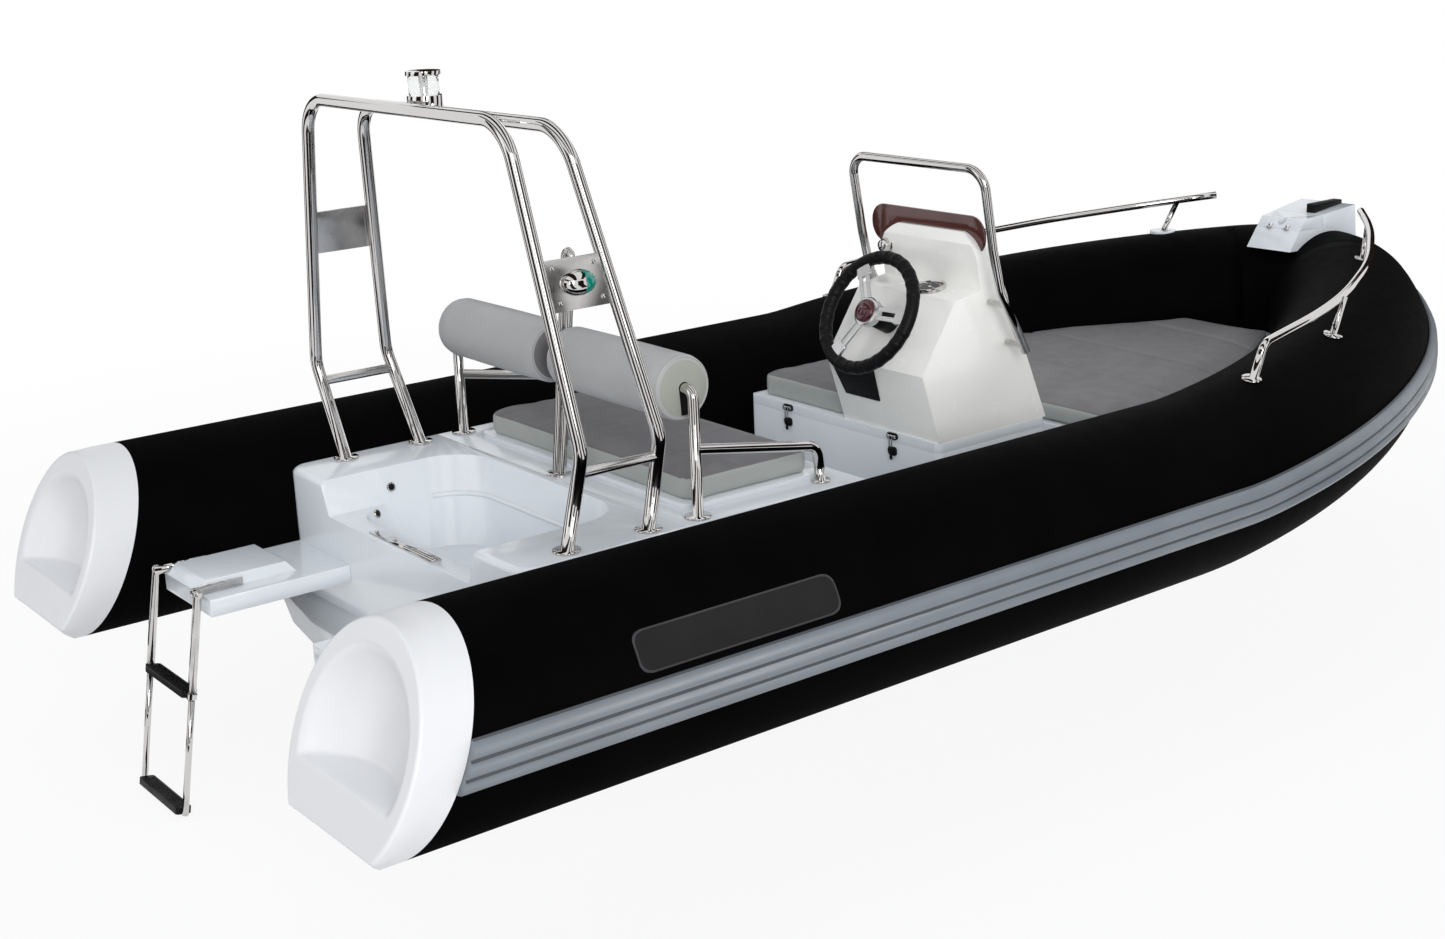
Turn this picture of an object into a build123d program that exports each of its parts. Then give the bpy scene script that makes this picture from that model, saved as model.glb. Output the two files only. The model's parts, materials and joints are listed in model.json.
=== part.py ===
from build123d import *
import math
import os

# Rigid inflatable boat with a tilting steering console.
# Millimetres. +X points to the bow, +Y to port, +Z up.
# The origin lies on the waterline, on the centreline of the hull's transom.

OUT = "parts"
os.makedirs(OUT, exist_ok=True)

# Buoyancy tubes
TUBE_R = 250.0
TUBE_Y = 865.0
AXIS_Z = 290.0
TUBE_AFT_X = -440.0
END_RAKE = 0.409
SHEER_X = 1955.0
SHEER_R = 1500.0
SHEER = math.radians(5.6)
BOW_R1 = 2196.0
BOW_R2 = 321.84
BOW_TURN = math.acos((BOW_R1 - TUBE_Y) / (BOW_R1 - BOW_R2))
KNEE_X = SHEER_X + SHEER_R * math.sin(SHEER)
KNEE_Z = AXIS_Z + SHEER_R * (1 - math.cos(SHEER))
BOW_U = BOW_R1 * math.sin(BOW_TURN) + BOW_R2 * (1 - math.sin(BOW_TURN))
BOW_X = KNEE_X + BOW_U * math.cos(SHEER)
BOW_Z = KNEE_Z + BOW_U * math.sin(SHEER)

# End caps
CAP_LENGTH = 118.0
CAP_HEEL = 80.0
CAP_RIM = 42.0
POCKET_R = TUBE_R - CAP_RIM
POCKET_DEPTH = 95.0
POCKET_FLOOR = TUBE_R - CAP_HEEL - 46.0

# Rubbing strake: (angle round the tube in degrees, thickness)
STRAKE = [(-11, 4), (-10, 16), (-6.5, 22), (-4, 13), (-1.5, 22)]
STRAKE += [(1.5, 22), (4, 13), (6.5, 22), (11, 16), (12.5, 4)]

# Hull: the bond line lies inside the tube's skin, which trims it
BOND_IN = 149.0
BOND_DROP = 180.0
SOLE_Z = AXIS_Z - BOND_DROP
# Hull stations on the bow turn: (heading in degrees, keel z, chine inboard of the axis, chine below it)
FORE_STATIONS = [(0, -158, 253, 292), (10, -130, 287, 286), (22, -68, 285, 267), (34, 60, 260, 227)]
AFT_KEEL = -155.0
STEM_BACK = 96.0

# Stern deck
DECK_AFT = 20.0
DECK_Z = 456.0
SIDE_GAP = 3.0
DECK_HALF = TUBE_Y - TUBE_R - SIDE_GAP
DECK_CORNER = 60.0
DECK_EDGE = 16.0
WELL_AFT = DECK_AFT + 42.0
WELL_FRONT = 466.0
WELL_HALF = 400.0
WELL_FLOOR = 225.0
WELL_DRAFT = 90.0
WELL_CORNER = 130.0
NOTCH_Z = 365.0
NOTCH_HALF = WELL_HALF - WELL_DRAFT * (DECK_Z - NOTCH_Z) / (DECK_Z - WELL_FLOOR)
BASE_AFT = WELL_FRONT + 25.0
STRIP_HALF = 161.0
STRIP_WIDE = 30.0
STRIP_THICK = 4.0
CABLE_PORT_R = 13.0
CABLE_PORT_PROUD = 3.0
# Cable ports in the well's port side: (x, z)
CABLE_PORTS = [(WELL_AFT + 155, DECK_Z - 53), (WELL_AFT + 88, DECK_Z - 106)]

# Boarding platforms
PLATFORM_AFT = -372.0
PLATFORM_GAP = 55.0
PLATFORM_WIDE = 294.0
PLATFORM_OUT = TUBE_Y - TUBE_R - PLATFORM_GAP
PLATFORM_IN = PLATFORM_OUT - PLATFORM_WIDE
PLATFORM_TOP = 254.0
PLATFORM_THICK = 46.0
HUMP_HALF = 108.0
HUMP_AFT = PLATFORM_AFT + 2.0
HUMP_FRONT = -104.0
HUMP_RISE = 28.0
HUMP_SLOPE = 22.0
PAD_AFT = -350.0
PAD_RISE = 32.0

# Boarding ladder
LADDER_Y = PLATFORM_OUT - 122.0
LADDER_HALF = 137.0
LADDER_LEAN = math.radians(10)
LADDER_UPPER = 276.0
LADDER_DROP = 314.0
LADDER_R = 11.0
LADDER_BORE = 9.0
LADDER_ROD = 8.5
LADDER_OVERLAP = 36.0
LADDER_X = PLATFORM_AFT - LADDER_R - 6.0
LADDER_Z = PLATFORM_TOP + LADDER_R + 1.0
EAR_GAP = 6.0
EAR_THICK = 5.0
EAR_LENGTH = 130.0
PIN_R = 5.0
PIN_CLEAR = 0.3
TREAD_DEPTH = 42.0
TREAD_THICK = 18.0

# Arch: (foot x, knee x, top x, top z) of the aft and the fore hoop
ARCH = {"aft": (178, 166, 129, 1451), "fore": (413, 384, 281, 1424)}
ARCH_FOOT_Y = 556.0
ARCH_KNEE_Y = 662.0
ARCH_KNEE_Z = 715.0
ARCH_TOP_Y = 483.0
ARCH_R = 16.5
ARCH_BEND = 115.0
ARCH_KNEE_BEND = 90.0
FLANGE_R = 34.0
FLANGE_H = 6.0
RUNG_Z = 665.0
RUNG_R = 13.0
PLATE_LOW = 1028.0
PLATE_HIGH = 1143.0
PLATE_THICK = 4.0
TOP_PLATE_HALF = 330.0
TOP_PLATE_THICK = 6.0
NAV_LONG = 46.0
NAV_HIGH = 30.0
NAV_DEEP = 28.0
NAV_LENS = 24.0
NAV_LENS_LONG = 20.0
NAV_LENS_HIGH = 18.0
NAV_LENS_PROUD = 3.0
# Mast lamp rings: (radius, height) from the plate up
LAMP_FOOT = (43.0, 40.0)
LAMP_LENS = (37.0, 48.0)
LAMP_CAP = (43.0, 10.0)

# Seat and backrest
SEAT_AFT = 572.0
SEAT_FRONT = 1012.0
SEAT_HALF = 505.0
LID_THICK = 12.0
LID_REVEAL = 6.0
SEAT_CUSHION = 64.0
SEAT_CORNER = 45.0
LOCKER_LEDGE = 60.0
LOCKER_FLOOR = SOLE_Z + 20.0
POST_X = SEAT_AFT - 14.0
POST_Y = SEAT_HALF + 57.0
ROLL_Z = 775.0
ROLL_R = 82.0
ROLL_IN = 36.0
ROLL_OUT = POST_Y - 38.0
FRAME_R = 14.0
POST_BEND = 22.0
ARM_Z = 629.0
ARM_BEND = 48.0
# Side arm: (x, y, z) of its knee and of its foot, for the port side
ARM_KNEE = (SEAT_FRONT - 60.0, SEAT_HALF + 47.0, DECK_Z + 101.0)
ARM_FOOT = (SEAT_FRONT - 41.0, SEAT_HALF + 36.0, DECK_Z)
ARM_FLANGE_R = 26.0
DECK_FRONT = SEAT_FRONT + 68.0
TOW_FOOT_X = 520.0
TOW_TOP_X = 590.0
TOW_TOP_Z = 1045.0
TOW_HALF = 16.0
TOW_R = 10.0

# Console locker, lid and console
BOX_AFT = 1505.0
BOX_FRONT = 1940.0
BOX_HALF = 421.0
BOX_TOP = 395.0
BOX_WALL = 20.0
BOX_CORNER = 22.0
LID_DEPTH = 29.0
LID_TOP = BOX_TOP + LID_DEPTH
CONSOLE_PORT = -18.0
CONSOLE_STBD = -BOX_HALF
CONSOLE_Y = (CONSOLE_PORT + CONSOLE_STBD) / 2
CONSOLE_EDGE = 14.0
# Console side profile from the aft foot round to the front foot: (x from the box, z from the lid)
CONSOLE = [(7, 0), (-55, 201), (79, 393), (180, 409), (161, 536)]
CONSOLE += [(176, 566), (200, 568), (240, 490), (433, 0)]
# Console end view from the foot up: (port side, starboard side, z from the lid), both from the middle
CONSOLE_END = [(201, 201, 0), (203, 196, 210), (206, 189, 400), (206, 185, 470)]
HOOD_TOP = 570.0
HOOD_ROUND = 90.0
SCREEN_HALF = 231.0
SCREEN_Y = CONSOLE_Y + 37.0
SCREEN_X = 190.0
SCREEN_HIGH = 43.0
SCREEN_DIP = 70.0
SCREEN_THICK = 8.0
SCREEN_ROUND = 54.0
SCREEN_LEAN = math.radians(4)
SEAT_PAD = 70.0
SEAT_PAD_CORNER = 42.0
PAD_INSET = 14.0
PANEL_THICK = 5.0
# Switch panel on the lower aft face: (y, distance up the face)
PANEL = [(-32, 196), (-215, 196), (-208, 96), (-62, 96)]
DIAL_R = 44.0
DIAL_Y = CONSOLE_Y - 36.0
DIAL_RISE = 6.0
HORN_Y = CONSOLE_PORT - 20.0
HORN_Z = LID_TOP + 498.0
HORN_R = 17.0
HORN_LONG = 24.0
LATCH_Y = 234.0
LATCH_WIDE = 28.0
LATCH_THICK = 12.0
LATCH_GAP = 3.0
LATCH_DROP = 50.0
HOOP_HALF = 268.0
HOOP_R = 13.0
HOOP_BENDS = [60, 60, 62, 62, 60, 60]
# Grab hoop leg from its foot up: (x from the box, z from the lid)
HOOP = [(278, 230), (176, 414), (146, 536), (108, 759)]
# Hoop stays: (x and z on the hoop, x on the console)
HOOP_STAYS = [(199, 372, 225), (268, 248, 290)]
STAY_R = 9.0
WHEEL_X = BOX_AFT - 60.0
WHEEL_Y = CONSOLE_Y + 14.0
WHEEL_Z = LID_TOP + 355.0
WHEEL_R = 182.0
WHEEL_RIM = 18.5
WHEEL_TILT = math.radians(28)
WHEEL_HUB_R = 40.0
SPOKES = (58, 178, 298)
SPOKE_WIDE = 36.0
SPOKE_THICK = 6.0
COLUMN_R = 32.0
COLUMN_GAP = 2.0

# Bow
BOWDECK_AFT = KNEE_X - 61.0
BOWDECK_Z = 365.0
BOW_CUSHION = 62.0
CUSHION_GAP = 58.0
CUSHION_TURNS = (0, 10, 22, 34)
CREST_Z = BOW_Z + TUBE_R
STEP_AFT = BOW_X - 214.0
STEP_FRONT = BOW_X + 124.0
STEP_SLOPE = 78.0
STEP_LOW = CREST_Z - 53.0
STEP_TOP_AFT = CREST_Z + 49.0
STEP_TOP_FRONT = CREST_Z + 77.0
STEP_AFT_HALF = 92.0
STEP_FRONT_HALF = 125.0
STEP_DRAFT = 6.0
STEP_SEAM = CREST_Z + 14.0
STEP_LID_END = BOW_X - 45.0
STEP_TRAY = 22.0
STEP_TRAY_LONG = 60.0
STEP_TRAY_HALF = 58.0
STEP_HINGE_Y = 36.0
HINGE_R = 5.0
HINGE_LONG = 16.0
HINGE_GAP = 0.6
LID_GAP = 2.0
NOTCH_R = 16.0
ROLLER_LONG = 165.0
ROLLER_WIDE = 36.0
ROLLER_Y = -43.0
ROLLER_RISE = 14.0

# Side rails over the tube crown: (heading in degrees, outboard of the axis, above the axis)
RAIL = [(4.6, 44, TUBE_R - 20), (6.2, 48, TUBE_R + 85), (16.8, 80, TUBE_R + 88), (28, 75, TUBE_R + 93),
        (38, 70, TUBE_R + 102), (43.5, 60, TUBE_R + 112)]
RAIL_BENDS = [45, 1500, 1500, 1500]
RAIL_R = 12.5
# Rail posts: (heading and outboard at the foot, heading, outboard and above at the rail)
RAIL_POSTS = [(16.6, 66, 18.4, 79, TUBE_R + 89), (38.4, 45, 40, 67, TUBE_R + 105)]
RAIL_POST_R = 10.0
RAIL_FLANGE_R = 28.0
RAIL_PAD_R = 46.0
RAIL_PAD_H = 5.0
RAIL_PAD_TOP = 8.0

# Towing eye
EYE_REACH = 30.0
EYE_BORE = 12.0
EYE_RIM = 9.0
EYE_THICK = 12.0
EYE_BASE = 90.0


def save(name, part):
    export_step(part, os.path.join(OUT, name + ".step"))


def bow_point(u, y, up=0):
    """Point u forward of the sheer knee, up above the raised plane of the bow."""
    return (
        KNEE_X + u * math.cos(SHEER) - up * math.sin(SHEER),
        y,
        KNEE_Z + u * math.sin(SHEER) + up * math.cos(SHEER),
    )


def swing(h, out=0, up=0):
    """Point on the bow turn at heading h, moved outboard and up."""
    r = BOW_R1 + out
    return bow_point(r * math.sin(h), TUBE_Y - BOW_R1 + r * math.cos(h), up)


def mirror_y(part):
    return mirror(part, about=Plane.XZ)


def rake_plane(offset):
    """Raked plane of the tube ends, moved aft by offset."""
    return Plane(origin=(TUBE_AFT_X - offset, 0, AXIS_Z), x_dir=(0, 1, 0), z_dir=(1, 0, -END_RAKE))


def bent_rod(points, bends, radius, bore=0):
    """Rod of straight runs joined by tangent bends."""
    pts = [Vector(*p) for p in points]
    if not isinstance(bends, (list, tuple)):
        bends = [bends] * (len(pts) - 2)
    with BuildPart() as rod:
        with BuildLine():
            start = pts[0]
            for a, b, c, bend in zip(pts, pts[1:], pts[2:], bends):
                u = (a - b).normalized()
                v = (c - b).normalized()
                half = math.acos(u.dot(v)) / 2
                run = bend / math.tan(half)
                centre = b + (u + v).normalized() * (bend / math.sin(half))
                mid = centre + (b - centre).normalized() * bend
                Line(start, b + u * run)
                ThreePointArc(b + u * run, mid, b + v * run)
                start = b + v * run
            Line(start, pts[-1])
        with BuildSketch(Plane(origin=pts[0], z_dir=pts[1] - pts[0])):
            Circle(radius)
            if bore:
                Circle(bore, mode=Mode.SUBTRACT)
        sweep()
    return rod.part


def block(x0, x1, y0, y1, z0, z1, edge=0):
    """Block by its limits, with its upright edges rounded."""
    with BuildPart() as box:
        with BuildSketch(Plane.XY.offset(z0)):
            with Locations(((x0 + x1) / 2, (y0 + y1) / 2)):
                if edge:
                    RectangleRounded(x1 - x0, y1 - y0, edge)
                else:
                    Rectangle(x1 - x0, y1 - y0)
        extrude(amount=z1 - z0)
    return box.part


def disc(centre, direction, radius, height):
    with BuildPart() as d:
        with BuildSketch(Plane(origin=centre, z_dir=direction)):
            Circle(radius)
        extrude(amount=height)
    return d.part


def slab_of(outline, plane, depth):
    """Straight-sided slab from a closed outline on a plane."""
    with BuildPart() as s:
        with BuildSketch(plane):
            with BuildLine():
                Polyline(*outline, close=True)
            make_face()
        extrude(amount=depth)
    return s.part


def joined(*parts):
    with BuildPart() as all_of:
        for p in parts:
            add(p)
    return all_of.part


def less(part, *cuts):
    with BuildPart() as rest:
        add(part)
        for c in cuts:
            add(c, mode=Mode.SUBTRACT)
    return rest.part


def common(part, other):
    with BuildPart() as both:
        add(part)
        add(other, mode=Mode.INTERSECT)
    return both.part


def tube_run():
    """Straight run, sheer bend and bow turn of the port tube's axis."""
    Line((TUBE_AFT_X - TUBE_R, TUBE_Y, AXIS_Z), (SHEER_X, TUBE_Y, AXIS_Z))
    half = SHEER / 2
    ThreePointArc(
        (SHEER_X, TUBE_Y, AXIS_Z),
        (SHEER_X + SHEER_R * math.sin(half), TUBE_Y, AXIS_Z + SHEER_R * (1 - math.cos(half))),
        (KNEE_X, TUBE_Y, KNEE_Z),
    )
    ThreePointArc(swing(0), swing(BOW_TURN / 2), swing(BOW_TURN))


RUN_START = Plane(origin=(TUBE_AFT_X - TUBE_R, TUBE_Y, AXIS_Z), x_dir=(0, 1, 0), z_dir=(1, 0, 0))

# Buoyancy tubes
with BuildPart() as tube_port:
    with BuildLine():
        tube_run()
    with BuildSketch(RUN_START):
        Circle(TUBE_R)
    sweep()
    split(bisect_by=rake_plane(0), keep=Keep.TOP)

TURN_END = swing(BOW_TURN)
with BuildPart() as tube_bow:
    with BuildLine() as nose:
        ThreePointArc(TURN_END, bow_point(BOW_U, 0), (TURN_END[0], -TURN_END[1], TURN_END[2]))
    with BuildSketch(Plane(origin=nose.line @ 0, z_dir=nose.line % 0)):
        Circle(TUBE_R)
    sweep()

tubes = {"tube_port": tube_port.part, "tube_starboard": mirror_y(tube_port.part), "tube_bow": tube_bow.part}
TUBES = list(tubes.values())

# Rubbing strake round the outside of the tubes
with BuildPart() as strake:
    with BuildLine():
        tube_run()
        h = (BOW_TURN + math.pi / 2) / 2
        nose_u = BOW_R1 * math.sin(BOW_TURN) + BOW_R2 * (math.sin(h) - math.sin(BOW_TURN))
        nose_y = TURN_END[1] - BOW_R2 * (math.cos(BOW_TURN) - math.cos(h))
        ThreePointArc(TURN_END, bow_point(nose_u, nose_y), bow_point(BOW_U, 0))
    with BuildSketch(RUN_START):
        with BuildLine():
            rim = [
                ((TUBE_R + t) * math.cos(math.radians(a)), (TUBE_R + t) * math.sin(math.radians(a)))
                for a, t in STRAKE
            ]
            first, last = (math.radians(STRAKE[0][0]), math.radians(STRAKE[-1][0]))
            foot = [(TUBE_R * math.cos(a), TUBE_R * math.sin(a)) for a in (first, (first + last) / 2, last)]
            Polyline(*rim)
            Line(rim[0], foot[0])
            ThreePointArc(*foot)
            Line(foot[2], rim[-1])
        make_face()
    sweep()
    split(bisect_by=rake_plane(0), keep=Keep.TOP)
rub_strake = joined(strake.part, mirror_y(strake.part))

# End caps with an arched pocket
with BuildPart() as pocket:
    dome_r = (POCKET_R**2 + POCKET_DEPTH**2) / (2 * POCKET_DEPTH)
    aft = rake_plane(CAP_LENGTH).z_dir * -(dome_r - POCKET_DEPTH)
    with Locations(Vector(TUBE_AFT_X - CAP_LENGTH, TUBE_Y, AXIS_Z) + aft):
        Sphere(dome_r)
    split(bisect_by=Plane.XY.offset(AXIS_Z - POCKET_FLOOR), keep=Keep.TOP)
chord = TUBE_R - CAP_HEEL
heel = Vector(TUBE_AFT_X - CAP_LENGTH - END_RAKE * chord, TUBE_Y, AXIS_Z - chord)
toe = Vector(TUBE_AFT_X - END_RAKE * TUBE_R, TUBE_Y, AXIS_Z - TUBE_R)
with BuildPart() as cap:
    with BuildSketch(Plane(origin=(heel.X - CAP_LENGTH, TUBE_Y, AXIS_Z), x_dir=(0, 1, 0), z_dir=(1, 0, 0))):
        Circle(TUBE_R)
    extrude(amount=CAP_LENGTH * 2 + 2 * TUBE_R)
    split(bisect_by=rake_plane(0), keep=Keep.BOTTOM)
    split(bisect_by=rake_plane(CAP_LENGTH), keep=Keep.TOP)
    sole_out = (heel.Z - toe.Z, 0, toe.X - heel.X)
    split(bisect_by=Plane(origin=heel, x_dir=(0, 1, 0), z_dir=sole_out), keep=Keep.TOP)
    add(pocket.part, mode=Mode.SUBTRACT)
end_cap = cap.part

# Hull sections: (x, keel z, chine y, chine z, bond y, bond z)
sections = []
for turn, keel, chine_in, chine_drop in FORE_STATIONS:
    x, y, z = swing(math.radians(turn))
    sections.append((x, keel, y - chine_in, z - chine_drop, y - BOND_IN, z - BOND_DROP))
midship = sections[0]
sections.insert(0, (0, AFT_KEEL, midship[2] + 8, midship[3] - 5, TUBE_Y - BOND_IN, SOLE_Z))
sections.insert(1, (BOWDECK_AFT, midship[1], midship[2], midship[3], TUBE_Y - BOND_IN, SOLE_Z))
stem_x = BOW_X - STEM_BACK
stem_skin = BOW_Z - math.sqrt(TUBE_R**2 - STEM_BACK**2)
sections.append((stem_x, stem_skin + 8, 40, stem_skin + 43, 90, stem_skin + 93))
with BuildPart() as hull_form:
    for x, keel, chine_y, chine_z, bond_y, bond_z in sections:
        with BuildSketch(Plane.YZ.offset(x)):
            with BuildLine():
                left = [(-bond_y, bond_z), (-chine_y, chine_z)]
                Polyline(*left, (0, keel), (chine_y, chine_z), (bond_y, bond_z), close=True)
            make_face()
    loft(ruled=True)
hull = less(hull_form.part, *TUBES)

# Stern deck with the motor well and the transom notch
with BuildPart() as stern:
    add(block(DECK_AFT, BASE_AFT, -DECK_HALF, DECK_HALF, SOLE_Z, DECK_Z))
    fillet(stern.edges().filter_by(Axis.Z).sort_by(Axis.X)[:2], DECK_CORNER)
    rim = stern.faces().sort_by(Axis.Z)[-1].edges().sort_by(Axis.X)
    fillet(rim[:-1], DECK_EDGE)
    for z, inset in ((DECK_Z, 0), (WELL_FLOOR, WELL_DRAFT)):
        with BuildSketch(Plane.XY.offset(z)):
            with Locations(((WELL_AFT + WELL_FRONT) / 2, 0)):
                RectangleRounded(WELL_FRONT - WELL_AFT - inset, 2 * (WELL_HALF - inset), WELL_CORNER)
    loft(mode=Mode.SUBTRACT)
    notch = [(-NOTCH_HALF, NOTCH_Z), (NOTCH_HALF, NOTCH_Z)]
    notch += [(WELL_HALF, DECK_Z), (-WELL_HALF, DECK_Z)]
    add(slab_of(notch, Plane.YZ.offset(DECK_AFT - 1), WELL_AFT - DECK_AFT + WELL_CORNER), mode=Mode.SUBTRACT)
stern_deck = stern.part
ports = []
for x, z in CABLE_PORTS:
    depth = (DECK_Z - z) / (DECK_Z - WELL_FLOOR)
    turn_x = WELL_AFT + WELL_DRAFT / 2 * depth + WELL_CORNER
    turn_y = WELL_HALF - WELL_DRAFT * depth - WELL_CORNER
    back = max(0.0, turn_x - x)
    out = math.sqrt(WELL_CORNER**2 - back**2)
    inward = Vector(back, -out, WELL_CORNER * WELL_DRAFT / (DECK_Z - WELL_FLOOR)).normalized()
    root = Vector(x, turn_y + out, z) - inward * CABLE_PORT_R
    ports.append(disc(root, inward, CABLE_PORT_R, CABLE_PORT_R + CABLE_PORT_PROUD))
strip = block(WELL_AFT - STRIP_WIDE, WELL_AFT, -STRIP_HALF, STRIP_HALF, NOTCH_Z, NOTCH_Z + STRIP_THICK)
well_fittings = joined(strip, less(joined(*ports), stern_deck))

# Seat base with its locker
with BuildPart() as base:
    add(block(BASE_AFT, DECK_FRONT, -DECK_HALF, DECK_HALF, SOLE_Z, DECK_Z))
    rim = base.faces().sort_by(Axis.Z)[-1].edges().sort_by(Axis.X)
    fillet(rim[1:], DECK_EDGE)
    bay_half = SEAT_HALF - LOCKER_LEDGE
    bay = block(SEAT_AFT + LOCKER_LEDGE, SEAT_FRONT - LOCKER_LEDGE, -bay_half, bay_half, LOCKER_FLOOR, DECK_Z)
    add(bay, mode=Mode.SUBTRACT)
seat_base = base.part

# Boarding platforms
slab = block(
    PLATFORM_AFT, DECK_AFT, PLATFORM_IN, PLATFORM_OUT, PLATFORM_TOP - PLATFORM_THICK, PLATFORM_TOP
)
with BuildPart() as hump:
    for z, inset in ((PLATFORM_TOP, 0), (PLATFORM_TOP + HUMP_RISE, HUMP_SLOPE)):
        with BuildSketch(Plane.XY.offset(z)):
            with Locations(((HUMP_AFT + HUMP_FRONT) / 2, LADDER_Y)):
                Rectangle(HUMP_FRONT - HUMP_AFT - 2 * inset, 2 * HUMP_HALF - inset)
    loft()
platform_port = joined(slab, hump.part)
platform_starboard = block(
    PAD_AFT, DECK_AFT, -PLATFORM_OUT, -PLATFORM_IN, PLATFORM_TOP - PLATFORM_THICK, PLATFORM_TOP + PAD_RISE
)

# Boarding ladder: brackets on the platform, an upper section and a telescoping lower section
down = Vector(-math.sin(LADDER_LEAN), 0, -math.cos(LADDER_LEAN))
pivot = Vector(LADDER_X, LADDER_Y, LADDER_Z)
brackets = []
uppers = []
lowers = []
for side in (-1, 1):
    top = pivot + Vector(0, side * LADDER_HALF, 0)
    face = top.Y - side * (LADDER_R + EAR_GAP)
    far = face - side * EAR_THICK
    ear_y = (min(face, far), max(face, far))
    ear = block(LADDER_X - LADDER_R, LADDER_X + EAR_LENGTH, *ear_y, PLATFORM_TOP, LADDER_Z + LADDER_R)
    pin = disc((top.X, far, top.Z), (0, side, 0), PIN_R, 2 * LADDER_R + EAR_GAP + EAR_THICK)
    brackets.append(less(joined(ear, pin), hump.part))
    hub = disc((top.X, top.Y - LADDER_R, top.Z), (0, 1, 0), LADDER_R, 2 * LADDER_R)
    tube = bent_rod([top + down * (PIN_R + 1), top + down * LADDER_UPPER], 1, LADDER_R, LADDER_BORE)
    eye = disc((top.X, top.Y - LADDER_R, top.Z), (0, 1, 0), PIN_R + PIN_CLEAR, 2 * LADDER_R)
    uppers.append(less(joined(hub, tube), eye))
    first = LADDER_UPPER - LADDER_OVERLAP
    lowers.append(bent_rod([top + down * first, top + down * (LADDER_UPPER + LADDER_DROP)], 1, LADDER_ROD))
ladder_brackets = joined(*brackets)
ladder_upper = joined(*uppers)
ladder_lower = joined(*lowers)


def tread(along, half):
    with BuildPart() as step:
        with BuildSketch(Plane(origin=pivot + down * along, x_dir=(0, 1, 0), z_dir=down)):
            RectangleRounded(2 * half, TREAD_DEPTH, TREAD_THICK / 2)
        extrude(amount=TREAD_THICK)
    return step.part


ladder_tread_upper = tread(LADDER_UPPER - TREAD_THICK, LADDER_HALF - LADDER_R)
ladder_tread_lower = tread(LADDER_UPPER + LADDER_DROP - TREAD_THICK, LADDER_HALF - LADDER_ROD)

# Arch of two hoops with braces, a top plate and lamps
hoops = {}
for name, (foot_x, knee_x, top_x, top_z) in ARCH.items():
    bends = [ARCH_KNEE_BEND, ARCH_BEND, ARCH_BEND, ARCH_KNEE_BEND]
    route = [
        (foot_x, ARCH_FOOT_Y, DECK_Z),
        (knee_x, ARCH_KNEE_Y, ARCH_KNEE_Z),
        (top_x, ARCH_TOP_Y, top_z),
        (top_x, -ARCH_TOP_Y, top_z),
        (knee_x, -ARCH_KNEE_Y, ARCH_KNEE_Z),
        (foot_x, -ARCH_FOOT_Y, DECK_Z),
    ]
    with BuildPart() as hoop:
        add(bent_rod(route, bends, ARCH_R))
        split(bisect_by=Plane.XY.offset(DECK_Z), keep=Keep.TOP)
        for side in (-1, 1):
            add(disc((foot_x, side * ARCH_FOOT_Y, DECK_Z), (0, 0, 1), FLANGE_R, FLANGE_H))
    hoops[name] = hoop.part


def leg_at(name, z, side):
    """Point on a leg at height z."""
    foot_x, knee_x, top_x, top_z = ARCH[name]
    if z < ARCH_KNEE_Z:
        t = (z - DECK_Z) / (ARCH_KNEE_Z - DECK_Z)
        y = ARCH_FOOT_Y + t * (ARCH_KNEE_Y - ARCH_FOOT_Y)
        return Vector(foot_x + t * (knee_x - foot_x), side * y, z)
    t = (z - ARCH_KNEE_Z) / (top_z - ARCH_KNEE_Z)
    return Vector(knee_x + t * (top_x - knee_x), side * (ARCH_KNEE_Y + t * (ARCH_TOP_Y - ARCH_KNEE_Y)), z)


braces = []
lamps = {}
for side, word in ((-1, "starboard"), (1, "port")):
    bar = bent_rod([leg_at("aft", RUNG_Z, side), leg_at("fore", RUNG_Z, side)], 1, RUNG_R)
    corners = [leg_at("aft", PLATE_LOW, side), leg_at("fore", PLATE_LOW, side)]
    corners += [leg_at("fore", PLATE_HIGH, side), leg_at("aft", PLATE_HIGH, side)]
    out = (corners[3] - corners[0]).cross(Vector(1, 0, 0)).normalized()
    out = out * (1 if out.Y * side > 0 else -1)
    flat = Plane(origin=corners[0], x_dir=(1, 0, 0), z_dir=out)
    local = [flat.to_local_coords(c) for c in corners]
    plate = slab_of([(c.X, c.Y) for c in local], flat, PLATE_THICK)
    braces += [less(bar, *hoops.values()), less(plate, *hoops.values())]
    centre = (local[0] + local[1] + local[2] + local[3]) / 4
    middle = flat.from_local_coords(Vector(centre.X, centre.Y, PLATE_THICK))
    with BuildPart() as body:
        with BuildSketch(Plane(origin=middle, x_dir=(1, 0, 0), z_dir=out)):
            Ellipse(NAV_LONG, NAV_HIGH)
        extrude(amount=NAV_DEEP, taper=12)
    with BuildPart() as lens:
        with BuildSketch(Plane(origin=middle + Vector(NAV_LENS, 0, 0), x_dir=(1, 0, 0), z_dir=out)):
            Ellipse(NAV_LENS_LONG, NAV_LENS_HIGH)
        extrude(amount=NAV_DEEP + NAV_LENS_PROUD, taper=8)
    lamps["nav_lamp_" + word] = less(body.part, lens.part)
    lamps["nav_lens_" + word] = lens.part
arch_braces = joined(*braces)
tops = [Vector(ARCH[name][2], 0, ARCH[name][3]) for name in ("aft", "fore")]
span = tops[1] - tops[0]
flat = Plane(origin=(tops[0] + tops[1]) / 2, x_dir=span, z_dir=span.cross(Vector(0, 1, 0)))
with BuildPart() as top_span:
    with BuildSketch(flat):
        Rectangle(span.length, 2 * TOP_PLATE_HALF)
    extrude(amount=TOP_PLATE_THICK / 2, both=True)
arch_top_plate = less(top_span.part, *hoops.values())
lamp_x, lamp_z = flat.origin.X, flat.origin.Z
rings = []
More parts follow.
